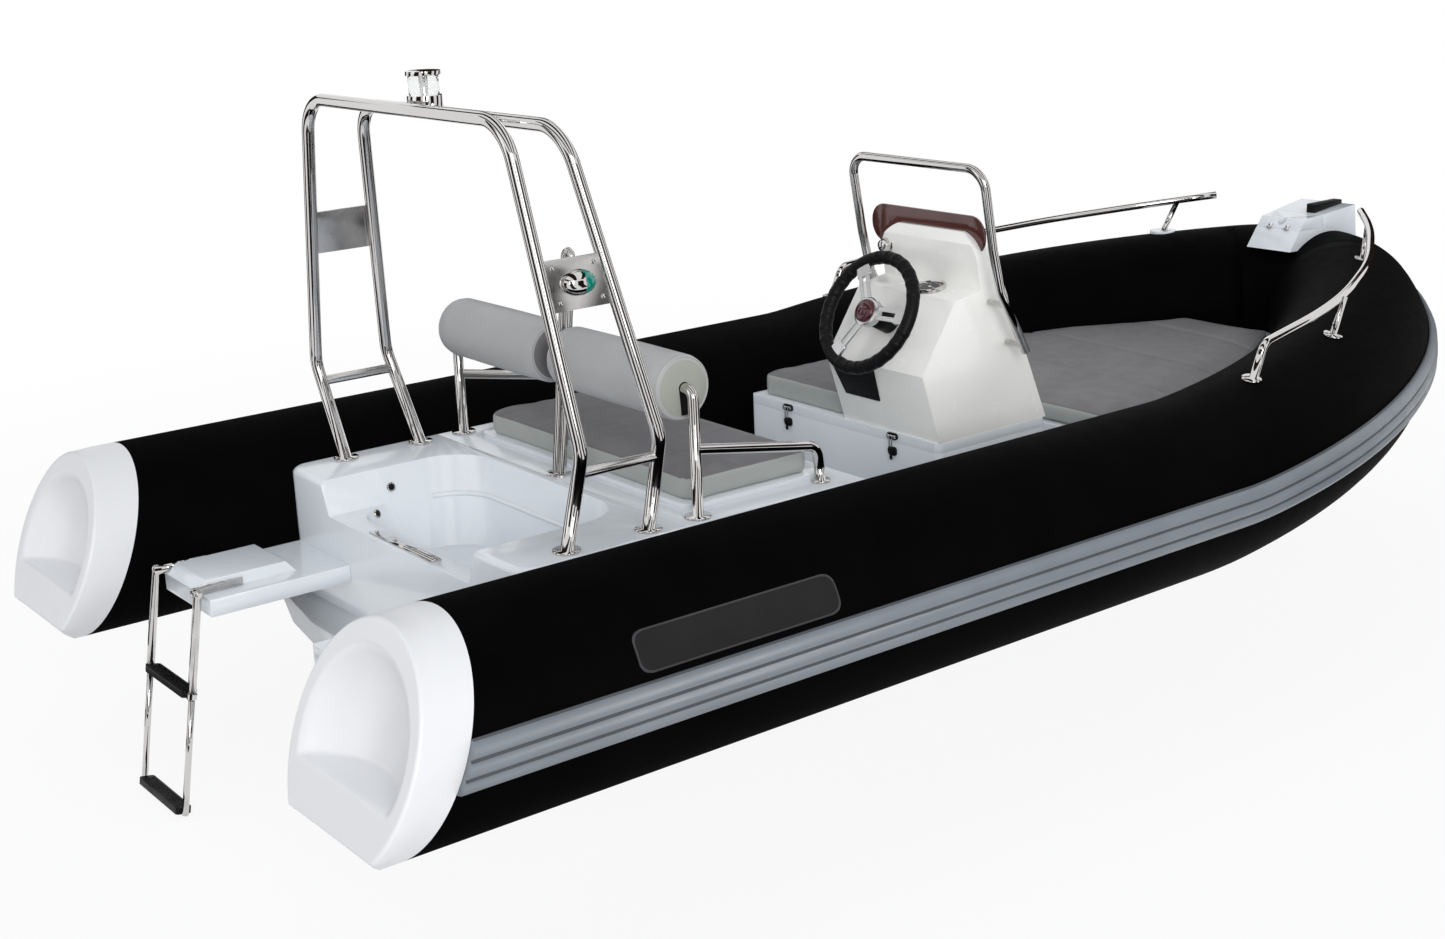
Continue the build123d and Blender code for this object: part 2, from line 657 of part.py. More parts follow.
for radius, height in (LAMP_FOOT, LAMP_LENS, LAMP_CAP):
    rings.append(disc((lamp_x, 0, lamp_z), (0, 0, 1), radius, height))
    lamp_z += height
stem_rod = disc((lamp_x, 0, lamp_z), (0, 0, -1), TOW_R, lamp_z - flat.origin.Z)
with BuildPart() as lamp:
    add(rings[0])
    add(rings[2])
    add(stem_rod)
    split(bisect_by=flat.offset(TOP_PLATE_THICK / 2), keep=Keep.TOP)
mast_lamp = lamp.part
mast_lamp_lens = less(rings[1], stem_rod)

# Seat
seat_lid = block(SEAT_AFT, SEAT_FRONT, -SEAT_HALF, SEAT_HALF, DECK_Z, DECK_Z + LID_THICK, SEAT_CORNER)
seat_cushion = block(
    SEAT_AFT + LID_REVEAL,
    SEAT_FRONT - LID_REVEAL,
    LID_REVEAL - SEAT_HALF,
    SEAT_HALF - LID_REVEAL,
    DECK_Z + LID_THICK,
    DECK_Z + LID_THICK + SEAT_CUSHION,
    SEAT_CORNER,
)

# Tow post between the backrest rolls
tow_route = [
    (TOW_FOOT_X, -TOW_HALF, DECK_Z),
    (TOW_TOP_X, -TOW_HALF, TOW_TOP_Z),
    (TOW_TOP_X, TOW_HALF, TOW_TOP_Z),
    (TOW_FOOT_X, TOW_HALF, DECK_Z),
]
with BuildPart() as tow:
    add(bent_rod(tow_route, TOW_HALF - 0.5, TOW_R))
    split(bisect_by=Plane.XY.offset(DECK_Z), keep=Keep.TOP)
    add(disc((TOW_FOOT_X, 0, DECK_Z), (0, 0, 1), FLANGE_R, FLANGE_H))
tow_post = tow.part

# Backrest frames and rolls
frames = {}
rolls = {}
for side, word in ((1, "port"), (-1, "starboard")):
    y = side * POST_Y
    bar = bent_rod([(POST_X, y, DECK_Z), (POST_X, y, ROLL_Z), (POST_X, 0, ROLL_Z)], POST_BEND, FRAME_R)
    knee, toe = [(px, side * py, pz) for px, py, pz in (ARM_KNEE, ARM_FOOT)]
    arm = bent_rod([(POST_X, y, ARM_Z), knee, toe], ARM_BEND, FRAME_R)
    with BuildPart() as frame:
        add(bar)
        add(arm)
        split(bisect_by=Plane.XY.offset(DECK_Z), keep=Keep.TOP)
        add(tow_post, mode=Mode.SUBTRACT)
        add(disc((POST_X, y, DECK_Z), (0, 0, 1), FLANGE_R, FLANGE_H))
        add(disc(toe, (0, 0, 1), ARM_FLANGE_R, FLANGE_H))
        keep = frame.solids().sort_by(SortBy.VOLUME)[-1]
    frames[word] = keep
    roll = disc((POST_X, side * ROLL_IN, ROLL_Z), (0, side, 0), ROLL_R, ROLL_OUT - ROLL_IN)
    rolls[word] = less(roll, bar)

# Console locker, its tilting lid and the console
locker = block(BOX_AFT, BOX_FRONT, -BOX_HALF, BOX_HALF, SOLE_Z, BOX_TOP, BOX_CORNER)
inner = BOX_HALF - BOX_WALL
locker_void = block(BOX_AFT + BOX_WALL, BOX_FRONT - BOX_WALL, -inner, inner, SOLE_Z + BOX_WALL, BOX_TOP)
console_locker = less(locker, locker_void)
console_lid = block(BOX_AFT, BOX_FRONT, -BOX_HALF, BOX_HALF, BOX_TOP, LID_TOP, BOX_CORNER)
profile = [(BOX_AFT + x, LID_TOP + z) for x, z in CONSOLE]
side_form = slab_of(profile, Plane.XZ.offset(-CONSOLE_Y - BOX_HALF), 2 * BOX_HALF)
with BuildPart() as end_form:
    with BuildSketch(Plane.YZ.offset(BOX_AFT - BOX_HALF)) as end:
        outline = [(CONSOLE_Y - starboard, LID_TOP + z) for port, starboard, z in CONSOLE_END]
        outline += [(outline[-1][0], LID_TOP + HOOD_TOP)]
        outline += [(CONSOLE_Y + CONSOLE_END[-1][0], LID_TOP + HOOD_TOP)]
        outline += [(CONSOLE_Y + port, LID_TOP + z) for port, starboard, z in CONSOLE_END[::-1]]
        with BuildLine():
            Polyline(*outline, close=True)
        make_face()
        fillet(end.vertices().sort_by(Axis.Y)[-2:], HOOD_ROUND)
    extrude(amount=3 * BOX_HALF)
console_shell = common(side_form, end_form.part)
console_cushion = block(
    BOX_AFT + PAD_INSET, BOX_FRONT - PAD_INSET, CONSOLE_PORT + PAD_INSET, BOX_HALF - PAD_INSET,
    LID_TOP, LID_TOP + SEAT_PAD, SEAT_PAD_CORNER
)
latches = []
keepers = []
for y in (-LATCH_Y, LATCH_Y):
    half = LATCH_WIDE / 2
    latches.append(block(BOX_AFT - LATCH_THICK, BOX_AFT, y - half, y + half, BOX_TOP + LATCH_GAP, LID_TOP))
    keepers.append(
        block(BOX_AFT - LATCH_THICK, BOX_AFT, y - half, y + half, BOX_TOP - LATCH_DROP, BOX_TOP - LATCH_GAP)
    )
lid_latches = joined(*latches)
latch_keepers = joined(*keepers)

# Switch panel, gauge and horn on the console
foot_at = Vector(BOX_AFT + CONSOLE[0][0], 0, LID_TOP + CONSOLE[0][1])
brow_at = Vector(BOX_AFT + CONSOLE[1][0], 0, LID_TOP + CONSOLE[1][1])
face_up = (brow_at - foot_at).normalized()
face_out = Vector(-face_up.Z, 0, face_up.X)
face = Plane(origin=foot_at, x_dir=(0, 1, 0), z_dir=face_out)
switch_panel = slab_of([(y, -s if face.y_dir.Z < 0 else s) for y, s in PANEL], face, PANEL_THICK)
shelf_a = Vector(BOX_AFT + CONSOLE[2][0], DIAL_Y, LID_TOP + CONSOLE[2][1])
shelf_b = Vector(BOX_AFT + CONSOLE[3][0], DIAL_Y, LID_TOP + CONSOLE[3][1])
shelf_up = Vector(shelf_a.Z - shelf_b.Z, 0, shelf_b.X - shelf_a.X).normalized()
gauge = disc((shelf_a + shelf_b) / 2, shelf_up, DIAL_R, DIAL_RISE)
hood_x = BOX_AFT + (CONSOLE[3][0] + CONSOLE[4][0]) / 2
horn = less(disc((hood_x + HORN_LONG, HORN_Y, HORN_Z), (-1, 0, 0), HORN_R, 2 * HORN_LONG), console_shell)
console_dials = joined(gauge, horn)

# Grab hoop round the console
hoop_points = []
for side in (1, -1):
    leg = [(BOX_AFT + x, CONSOLE_Y + side * HOOP_HALF, LID_TOP + z) for x, z in HOOP]
    hoop_points += leg if side > 0 else leg[::-1]
with BuildPart() as hoop:
    add(bent_rod(hoop_points, HOOP_BENDS, HOOP_R))
    for side in (1, -1):
        for x, z, end_x in HOOP_STAYS:
            outer = (BOX_AFT + x, CONSOLE_Y + side * HOOP_HALF, LID_TOP + z)
            add(bent_rod([outer, (BOX_AFT + end_x, CONSOLE_Y + side * HOOD_ROUND, LID_TOP + z)], 1, STAY_R))
    add(console_shell, mode=Mode.SUBTRACT)
grab_hoop = hoop.part

# Tinted screen on the hood
lean_up = Vector(-math.sin(SCREEN_LEAN), 0, math.cos(SCREEN_LEAN))
screen_at = Vector(BOX_AFT + SCREEN_X, SCREEN_Y, LID_TOP + HOOD_TOP)
screen_at = screen_at + lean_up * ((SCREEN_HIGH - SCREEN_DIP) / 2)
with BuildPart() as screen:
    with BuildSketch(Plane(origin=screen_at, x_dir=(0, 1, 0), z_dir=lean_up.cross(Vector(0, 1, 0)))):
        RectangleRounded(2 * SCREEN_HALF, SCREEN_HIGH + SCREEN_DIP, SCREEN_ROUND)
    extrude(amount=SCREEN_THICK / 2, both=True)
windscreen = less(screen.part, console_shell)

# Steering
axle = Vector(-math.cos(WHEEL_TILT), 0, math.sin(WHEEL_TILT))
rise = Vector(0, 1, 0).cross(axle)
rise = rise * (1 if rise.Z > 0 else -1)
hub = Vector(WHEEL_X, WHEEL_Y, WHEEL_Z)
rim_r = WHEEL_R - WHEEL_RIM
boss = WHEEL_RIM + COLUMN_GAP
steering_column = less(disc(hub - axle * boss, axle * -1, COLUMN_R, WHEEL_R), console_shell)
with BuildPart() as wheel:
    with BuildSketch(Plane(origin=hub + Vector(0, rim_r, 0), x_dir=axle, z_dir=axle.cross(Vector(0, 1, 0)))):
        Circle(WHEEL_RIM)
    revolve(axis=Axis(hub, axle))
steering_rim = wheel.part
with BuildPart() as spokes:
    add(disc(hub - axle * WHEEL_RIM, axle, WHEEL_HUB_R, 2 * WHEEL_RIM))
    for turn in SPOKES:
        t = math.radians(turn)
        reach = Vector(0, 1, 0) * math.cos(t) + rise * math.sin(t)
        with BuildSketch(Plane(origin=hub, x_dir=reach, z_dir=axle)):
            with Locations((rim_r / 2, 0)):
                Rectangle(rim_r, SPOKE_WIDE)
        extrude(amount=SPOKE_THICK / 2, both=True)
    add(steering_rim, mode=Mode.SUBTRACT)
steering_hub = spokes.part

# Bow deck, cushion and step
with BuildPart() as fore:
    for x, keel, chine_y, chine_z, bond_y, bond_z in sections[1:]:
        with BuildSketch(Plane.YZ.offset(x)):
            with BuildLine():
                foot = [(-bond_y, bond_z), (bond_y, bond_z)]
                Polyline(*foot, (bond_y, BOWDECK_Z), (-bond_y, BOWDECK_Z), close=True)
            make_face()
    loft(ruled=True)
bow_deck = less(fore.part, *TUBES)
edge = [swing(math.radians(turn)) for turn in CUSHION_TURNS]
edge = [(x, y - TUBE_R - CUSHION_GAP) for x, y, z in edge]
edge.insert(0, (BOWDECK_AFT, edge[0][1]))
mattress = slab_of(edge + [(x, -y) for x, y in edge[::-1]], Plane.XY.offset(BOWDECK_Z), BOW_CUSHION)
bow_cushion = less(mattress, *TUBES)

step_side = [
    (STEP_AFT, STEP_LOW),
    (STEP_AFT + STEP_SLOPE, STEP_TOP_AFT),
    (STEP_FRONT, STEP_TOP_FRONT),
    (STEP_FRONT, STEP_LOW),
]
with BuildPart() as step_plan:
    for z, inset in ((STEP_LOW, 0), (STEP_TOP_FRONT, 2 * STEP_DRAFT)):
        with BuildSketch(Plane.XY.offset(z)):
            aft_half = STEP_AFT_HALF - inset
            front_half = STEP_FRONT_HALF - inset
            with BuildLine():
                sides = [(STEP_AFT, -aft_half), (STEP_FRONT, -front_half)]
                Polyline(*sides, (STEP_FRONT, front_half), (STEP_AFT, aft_half), close=True)
            make_face()
    loft()
step_form = common(step_plan.part, slab_of(step_side, Plane.XZ.offset(-STEP_FRONT_HALF), 2 * STEP_FRONT_HALF))
upper = block(STEP_AFT, STEP_LID_END, -STEP_FRONT_HALF, STEP_FRONT_HALF, STEP_SEAM, STEP_TOP_FRONT)
tray_x = STEP_AFT + STEP_SLOPE
tray = block(
    tray_x, tray_x + STEP_TRAY_LONG, -STEP_TRAY_HALF, STEP_TRAY_HALF, STEP_SEAM - STEP_TRAY, STEP_SEAM
)
bow_step = less(step_form, *TUBES, upper, tray)
leaf = block(STEP_AFT, STEP_LID_END - LID_GAP, -STEP_FRONT_HALF, STEP_FRONT_HALF, STEP_SEAM, STEP_TOP_FRONT)
grip = disc((tray_x, 0, STEP_SEAM), (0, 0, 1), NOTCH_R, TUBE_R)
bow_step_lid = less(common(step_form, leaf), grip)
slope = Vector(STEP_SLOPE, 0, STEP_TOP_AFT - STEP_LOW).normalized()
slope_out = Vector(-slope.Z, 0, slope.X)
seam = Vector(STEP_AFT, 0, STEP_LOW) + slope * ((STEP_SEAM - STEP_LOW) / slope.Z)
knuckle = seam + slope_out * (HINGE_R + HINGE_GAP)
hinges = []
for y in (-STEP_HINGE_Y, STEP_HINGE_Y):
    shift = Vector(0, y - HINGE_LONG / 2, 0)
    barrel = disc(knuckle + shift, (0, 1, 0), HINGE_R, HINGE_LONG)
    with BuildPart() as leaf_plate:
        with BuildSketch(Plane(origin=seam + shift, x_dir=(0, 1, 0), z_dir=slope_out)) as foot:
            up_sign = 1 if foot.workplanes[0].y_dir.Z > 0 else -1
            with Locations((HINGE_LONG / 2, up_sign * (LID_GAP + HINGE_LONG / 2))):
                Rectangle(HINGE_LONG, HINGE_LONG)
        extrude(amount=HINGE_R / 2)
    hinges.append(less(joined(barrel, leaf_plate.part), bow_step_lid))
bow_step_hinges = joined(*hinges)
roller_top = STEP_TOP_FRONT + ROLLER_RISE
roller_y = (ROLLER_Y - ROLLER_WIDE / 2, ROLLER_Y + ROLLER_WIDE / 2)
channel = block(STEP_FRONT - ROLLER_LONG, STEP_FRONT, *roller_y, STEP_TOP_AFT, roller_top)
anchor_roller = less(channel, bow_step)

# Towing eye on the stem
keel_a, keel_b = sections[-2], sections[-1]
stem = Vector((keel_a[0] + keel_b[0]) / 2, 0, (keel_a[1] + keel_b[1]) / 2)
along = Vector(keel_b[0] - keel_a[0], 0, keel_b[1] - keel_a[1]).normalized()
outward = Vector(along.Z, 0, -along.X)
eye_at = stem + outward * EYE_REACH
with BuildPart() as eye:
    add(disc((eye_at.X, -EYE_THICK / 2, eye_at.Z), (0, 1, 0), EYE_BORE + EYE_RIM, EYE_THICK))
    with BuildSketch(Plane(origin=stem, x_dir=along, z_dir=outward)):
        RectangleRounded(EYE_BASE, EYE_THICK * 3, EYE_THICK)
    extrude(amount=EYE_THICK / 2)
    with BuildSketch(Plane(origin=stem, x_dir=along, z_dir=outward)):
        Rectangle(2 * (EYE_BORE + EYE_RIM), EYE_THICK)
    extrude(amount=EYE_REACH)
    add(disc((eye_at.X, -EYE_THICK, eye_at.Z), (0, 1, 0), EYE_BORE, 2 * EYE_THICK), mode=Mode.SUBTRACT)
    add(hull, mode=Mode.SUBTRACT)
bow_eye = eye.part

# Side rails on the tubes, with a pad under the port rail's last post
def foot_on_tube(turn, out, radius, height):
    """Foot point on the tube's skin and a disc lying on it."""
    h = math.radians(turn)
    low = Vector(*swing(h, out, math.sqrt(TUBE_R**2 - out**2)))
    normal = (low - Vector(*swing(h))).normalized()
    return low, less(disc(low - normal * height, normal, radius, 2 * height), *TUBES)


with BuildPart() as rail:
    add(bent_rod([swing(math.radians(turn), out, up) for turn, out, up in RAIL], RAIL_BENDS, RAIL_R))
    for turn, out, top_turn, top_out, top_up in RAIL_POSTS:
        low = foot_on_tube(turn, out, RAIL_FLANGE_R, RAIL_PAD_H)[0]
        add(bent_rod([low, swing(math.radians(top_turn), top_out, top_up)], 1, RAIL_POST_R))
    for t in TUBES:
        add(t, mode=Mode.SUBTRACT)
    for turn, out in [RAIL[0][:2]] + [post[:2] for post in RAIL_POSTS]:
        add(foot_on_tube(turn, out, RAIL_FLANGE_R, RAIL_PAD_H)[1])
pad_at = foot_on_tube(*RAIL_POSTS[-1][:2], RAIL_PAD_R, RAIL_PAD_H)[0] + Vector(0, 0, RAIL_PAD_TOP)
rail_pad = less(disc(pad_at, (0, 0, -1), RAIL_PAD_R, 4 * RAIL_PAD_TOP), rail.part, *TUBES)

for name, part in tubes.items():
    save(name, part)
for name, part in hoops.items():
    save("arch_" + name, part)
for name, part in lamps.items():
    save(name, part)
for word in frames:
    save("backrest_frame_" + word, frames[word])
    save("backrest_roll_" + word, rolls[word])
for name, part in (("end_cap", end_cap), ("side_rail", rail.part)):
    save(name + "_port", part)
    save(name + "_starboard", mirror_y(part))
save("rail_pad", rail_pad)
save("rub_strake", rub_strake)
save("hull", hull)
save("stern_deck", stern_deck)
save("seat_base", seat_base)
save("well_fittings", well_fittings)
save("platform_port", platform_port)
save("platform_starboard", platform_starboard)
save("ladder_brackets", ladder_brackets)
save("ladder_upper", ladder_upper)
save("ladder_lower", ladder_lower)
save("ladder_tread_upper", ladder_tread_upper)
save("ladder_tread_lower", ladder_tread_lower)
save("arch_braces", arch_braces)
save("arch_top_plate", arch_top_plate)
save("mast_lamp", mast_lamp)
save("mast_lamp_lens", mast_lamp_lens)
save("seat_lid", seat_lid)
save("seat_cushion", seat_cushion)
save("tow_post", tow_post)
save("console_locker", console_locker)
save("console_lid", console_lid)
save("console_shell", console_shell)
save("console_cushion", console_cushion)
save("switch_panel", switch_panel)
save("console_dials", console_dials)
save("lid_latches", lid_latches)
save("latch_keepers", latch_keepers)
save("grab_hoop", grab_hoop)
save("windscreen", windscreen)
save("steering_column", steering_column)
save("steering_rim", steering_rim)
save("steering_hub", steering_hub)
save("bow_deck", bow_deck)
save("bow_cushion", bow_cushion)
save("bow_step", bow_step)
save("bow_step_lid", bow_step_lid)
save("bow_step_hinges", bow_step_hinges)
save("anchor_roller", anchor_roller)
save("bow_eye", bow_eye)
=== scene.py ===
"""Studio scene of a rigid inflatable boat with a tilting steering console, in metres."""
import json
import math

import bmesh
import bpy
from mathutils import Matrix, Vector


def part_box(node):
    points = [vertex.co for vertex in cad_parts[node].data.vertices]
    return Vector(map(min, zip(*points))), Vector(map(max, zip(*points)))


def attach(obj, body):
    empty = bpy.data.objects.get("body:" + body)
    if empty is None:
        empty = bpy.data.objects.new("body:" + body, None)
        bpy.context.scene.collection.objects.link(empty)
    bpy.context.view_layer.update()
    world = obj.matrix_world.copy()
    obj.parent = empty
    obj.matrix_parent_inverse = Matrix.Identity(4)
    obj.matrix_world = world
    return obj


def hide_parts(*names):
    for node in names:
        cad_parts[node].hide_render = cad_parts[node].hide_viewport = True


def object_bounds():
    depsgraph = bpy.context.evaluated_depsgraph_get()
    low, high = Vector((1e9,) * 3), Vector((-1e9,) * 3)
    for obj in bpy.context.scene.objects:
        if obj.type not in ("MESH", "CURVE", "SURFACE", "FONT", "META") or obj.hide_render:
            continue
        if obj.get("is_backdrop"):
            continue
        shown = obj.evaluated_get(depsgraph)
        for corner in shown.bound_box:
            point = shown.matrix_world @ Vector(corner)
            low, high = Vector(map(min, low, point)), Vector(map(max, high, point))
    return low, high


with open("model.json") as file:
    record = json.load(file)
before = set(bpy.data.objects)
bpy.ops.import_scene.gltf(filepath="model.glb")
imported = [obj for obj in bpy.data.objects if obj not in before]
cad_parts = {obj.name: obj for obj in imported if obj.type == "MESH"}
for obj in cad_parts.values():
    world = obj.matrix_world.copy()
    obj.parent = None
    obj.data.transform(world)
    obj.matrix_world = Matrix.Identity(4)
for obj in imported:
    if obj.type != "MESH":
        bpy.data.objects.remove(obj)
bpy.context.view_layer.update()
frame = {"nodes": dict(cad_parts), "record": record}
nodes = frame["nodes"]
scene = bpy.context.scene
UP = Vector((0, 0, 1))
PORT = Vector((0, 1, 0))
AFT = Vector((-1, 0, 0))
FORE = Vector((1, 0, 0))

# Camera of the photograph
CAM_AT = Vector((-2.1036, -4.1757, 1.8869))
CAM_TO = Vector((1.0649, 0.0, 0.3553))
CAM_ROLL = math.radians(-2.19)
CAM_LENS = 47.95
FLOOR_Z = -0.325

# Measures of the boat
TUBE_R, TUBE_Y, AXIS_Z = 0.250, 0.865, 0.290
SHEER_X, SHEER_R, SHEER = 1.955, 1.500, math.radians(5.6)
BOW_R = 2.196
KNEE_X = SHEER_X + SHEER_R * math.sin(SHEER)
KNEE_Z = AXIS_Z + SHEER_R * (1 - math.cos(SHEER))
DECK_Z = 0.456
LID_TOP = 0.424
BOX_AFT = 1.505
CONSOLE_Y = -0.2195
HUB = Vector((1.445, CONSOLE_Y + 0.014, LID_TOP + 0.355))
WHEEL_TILT = math.radians(28)
WHEEL_R, WHEEL_RIM = 0.182, 0.0185
SPOKES = (58, 178, 298)

# Arch hoops: (foot x, knee x, top x, top z), and the heights of the side plates
ARCH = {"aft": (0.178, 0.166, 0.129, 1.451), "fore": (0.413, 0.384, 0.281, 1.424)}
ARCH_FOOT_Y, ARCH_KNEE_Y, ARCH_KNEE_Z, ARCH_TOP_Y = 0.556, 0.662, 0.715, 0.483
PLATE_LOW, PLATE_HIGH = 1.028, 1.143

# Angle in degrees above which an edge stays sharp
CREASE = 35


# Materials

GRAIN_DEEP, CELL_DEEP = 0.0006, 0.0008


def node(tree, kind, **values):
    """New shader node with its properties and input values set."""
    n = tree.nodes.new(kind)
    for key, value in values.items():
        if hasattr(n, key):
            setattr(n, key, value)
        else:
            n.inputs[key.replace("_", " ")].default_value = value
    return n


def finish(name, colour, rough, metal=0.0, mottle=0.05, mottle_scale=6.0, grain=0.0, grain_scale=400.0,
           cells=0.0, cell_scale=300.0, rough_span=0.06, **sockets):
    """Principled finish with a soft colour mottle, uneven gloss, a fine grain and leather cells."""
    mat = bpy.data.materials.new(name)
    mat.use_nodes = True
    tree = mat.node_tree
    link = tree.links.new
    shader = tree.nodes["Principled BSDF"]
    shader.inputs["Metallic"].default_value = metal
    for key, value in sockets.items():
        shader.inputs[key.replace("_", " ")].default_value = value
    place = node(tree, "ShaderNodeTexCoord")
    cloud = node(tree, "ShaderNodeTexNoise", Scale=mottle_scale, Detail=5.0)
    link(place.outputs["Object"], cloud.inputs["Vector"])
    ramp = node(tree, "ShaderNodeValToRGB")
    for stop, at, gain in ((0, 0.32, 1 - mottle), (1, 0.7, 1 + mottle)):
        ramp.color_ramp.elements[stop].position = at
        ramp.color_ramp.elements[stop].color = [min(1.0, c * gain) for c in colour] + [1]
    link(cloud.outputs["Fac"], ramp.inputs["Fac"])
    link(ramp.outputs["Color"], shader.inputs["Base Color"])
    smear = node(tree, "ShaderNodeTexNoise", Scale=mottle_scale * 3.7, Detail=4.0)
    link(place.outputs["Object"], smear.inputs["Vector"])
    span = node(tree, "ShaderNodeMapRange", From_Min=0.3, From_Max=0.7)
    span.inputs["To Min"].default_value = max(0.02, rough - rough_span)
    span.inputs["To Max"].default_value = rough + rough_span
    link(smear.outputs["Fac"], span.inputs["Value"])
    link(span.outputs["Result"], shader.inputs["Roughness"])
    height = None
    if grain:
        pore = node(tree, "ShaderNodeTexNoise", Scale=grain_scale, Detail=3.0)
        link(place.outputs["Object"], pore.inputs["Vector"])
        bump = node(tree, "ShaderNodeBump", Strength=grain, Distance=GRAIN_DEEP)
        link(pore.outputs["Fac"], bump.inputs["Height"])
        height = bump
    if cells:
        cell = node(tree, "ShaderNodeTexVoronoi", feature="DISTANCE_TO_EDGE", Scale=cell_scale)
        link(place.outputs["Object"], cell.inputs["Vector"])
        bump = node(tree, "ShaderNodeBump", Strength=cells, Distance=CELL_DEEP)
        link(cell.outputs["Distance"], bump.inputs["Height"])
        if height:
            link(height.outputs["Normal"], bump.inputs["Normal"])
        height = bump
    if height:
        link(height.outputs["Normal"], shader.inputs["Normal"])
    return mat


LEATHER = {"grain": 0.4, "grain_scale": 520.0, "cells": 0.5, "cell_scale": 420.0}
LOOKS = {
    "tube_black": finish("tube_fabric", (0.0012, 0.0012, 0.0013), 0.66, grain=0.25, grain_scale=900.0,
                         mottle=0.25, cells=0.1, cell_scale=700.0, rough_span=0.03,
                         Specular_IOR_Level=0.02),
    "strake_grey": finish("strake_rubber", (0.18, 0.202, 0.225), 0.38, grain=0.2, grain_scale=700.0,
                          mottle=0.06),
    "gelcoat_white": finish("gelcoat", (0.75, 0.785, 0.82), 0.2, mottle=0.012, Coat_Weight=0.3),
    "vinyl_grey": finish("vinyl", (0.160, 0.156, 0.160), 0.5, mottle=0.07,
                         Specular_IOR_Level=0.3, **LEATHER),
    "roll_grey": finish("roll_vinyl", (0.42, 0.42, 0.42), 0.46, mottle=0.04,
                        Specular_IOR_Level=0.35, **LEATHER),
    "stainless": finish("polished_steel", (0.64, 0.625, 0.615), 0.06, metal=1.0, mottle=0.03,
                        rough_span=0.03),
    "black_plastic": finish("moulded_plastic", (0.0035, 0.0035, 0.0038), 0.45, grain=0.4, grain_scale=600.0,
                            mottle=0.2, Specular_IOR_Level=0.16),
    "visor_brown": finish("tinted_acrylic", (0.085, 0.026, 0.022), 0.16, mottle=0.1, Coat_Weight=0.5),
    "lens_clear": finish("clear_lens", (0.93, 0.95, 0.95), 0.04, Transmission_Weight=0.95, IOR=1.12),
    "lens_green": finish("green_lens", (0.0, 0.20, 0.15), 0.08, Coat_Weight=0.6),
    "lens_red": finish("red_lens", (0.42, 0.01, 0.012), 0.08, Coat_Weight=0.6),
}
CREAM = finish("cream_gelcoat", (0.92, 0.915, 0.88), 0.22, mottle=0.012, Coat_Weight=0.3)
CAP_WHITE = finish("cap_gelcoat", (0.74, 0.745, 0.76), 0.4, mottle=0.01, Coat_Weight=0.1)
DIAL_WHITE = finish("dial_white", (0.8, 0.8, 0.8), 0.4, mottle=0.03)
SIDE_VINYL = finish("side_vinyl", (0.37, 0.39, 0.375), 0.48, mottle=0.05,
                    Specular_IOR_Level=0.3, **LEATHER)
END_VINYL = finish("end_vinyl", (0.34, 0.355, 0.31), 0.5, mottle=0.05,
                   Specular_IOR_Level=0.3, **LEATHER)
MAROON = finish("maroon_enamel", (0.05, 0.006, 0.010), 0.18, mottle=0.15, Coat_Weight=0.6)
SATIN = finish("satin_alloy", (0.62, 0.62, 0.63), 0.22, metal=1.0, mottle=0.04, rough_span=0.05)
PATCH = finish("patch_rubber", (0.0115, 0.0115, 0.0122), 0.5, grain=0.4, grain_scale=800.0, mottle=0.2,
               Specular_IOR_Level=0.2)
# Dark grey of the rods laid in the strake's grooves and along its upper edge: painted shade
STRAKE_SHADE = finish("painted_strake_shade", (0.062, 0.069, 0.078), 0.45, grain=0.2, grain_scale=700.0, mottle=0.1)
PATCH_RIM = finish("patch_rim", (0.035, 0.035, 0.037), 0.45, grain=0.3, grain_scale=800.0, mottle=0.15)
BRUSHED = finish("brushed_steel", (0.60, 0.59, 0.585), 0.24, metal=1.0, mottle=0.05, rough_span=0.05)
DIAL = finish("dial_face", (0.02, 0.02, 0.022), 0.35, mottle=0.1)

for sub in frame["record"]["subparts"]:
    mesh = nodes[sub["node"]].data
    mesh.materials.clear()
    mesh.materials.append(LOOKS[sub["material_slot"]])
nodes["console_shell"].data.materials[0] = CREAM
nodes["arch_braces"].data.materials[0] = BRUSHED


# Shapes

def basis(at, z, x=(1, 0, 0)):
    """Placement at a point with its Z along z and its X as near x as it can be."""
    z = Vector(z).normalized()
    x = Vector(x)
    if abs(z.dot(x.normalized())) > 0.95:
        x = PORT.copy()
    x = (x - z * x.dot(z)).normalized()
    return Matrix.Translation(Vector(at)) @ Matrix((x, z.cross(x), z)).transposed().to_4x4()


def rings_to_faces(bm, rings, closed=True):
    """Quads between rings of equal length, or triangles to a ring of one."""
    for low, high in zip(rings, rings[1:]):
        count = max(len(low), len(high))
        for i in range(count if closed else count - 1):
            j = (i + 1) % count
            corners = [low[i % len(low)], low[j % len(low)], high[j % len(high)], high[i % len(high)]]
            loop = []
            for v in corners:
                if v not in loop:
                    loop.append(v)
            if len(loop) > 2:
                bm.faces.new(loop)


def spin(bm, place, profile, segs):
    """Turned form about the placement's Z; profile gives (radius, height)."""
    turns = [2 * math.pi * i / segs for i in range(segs)]
    rings = []
    for r, h in profile:
        if r == 0:
            rings.append([bm.verts.new(place @ Vector((0, 0, h)))])
            continue
        rings.append([bm.verts.new(place @ Vector((r * math.cos(t), r * math.sin(t), h))) for t in turns])
    rings_to_faces(bm, rings)


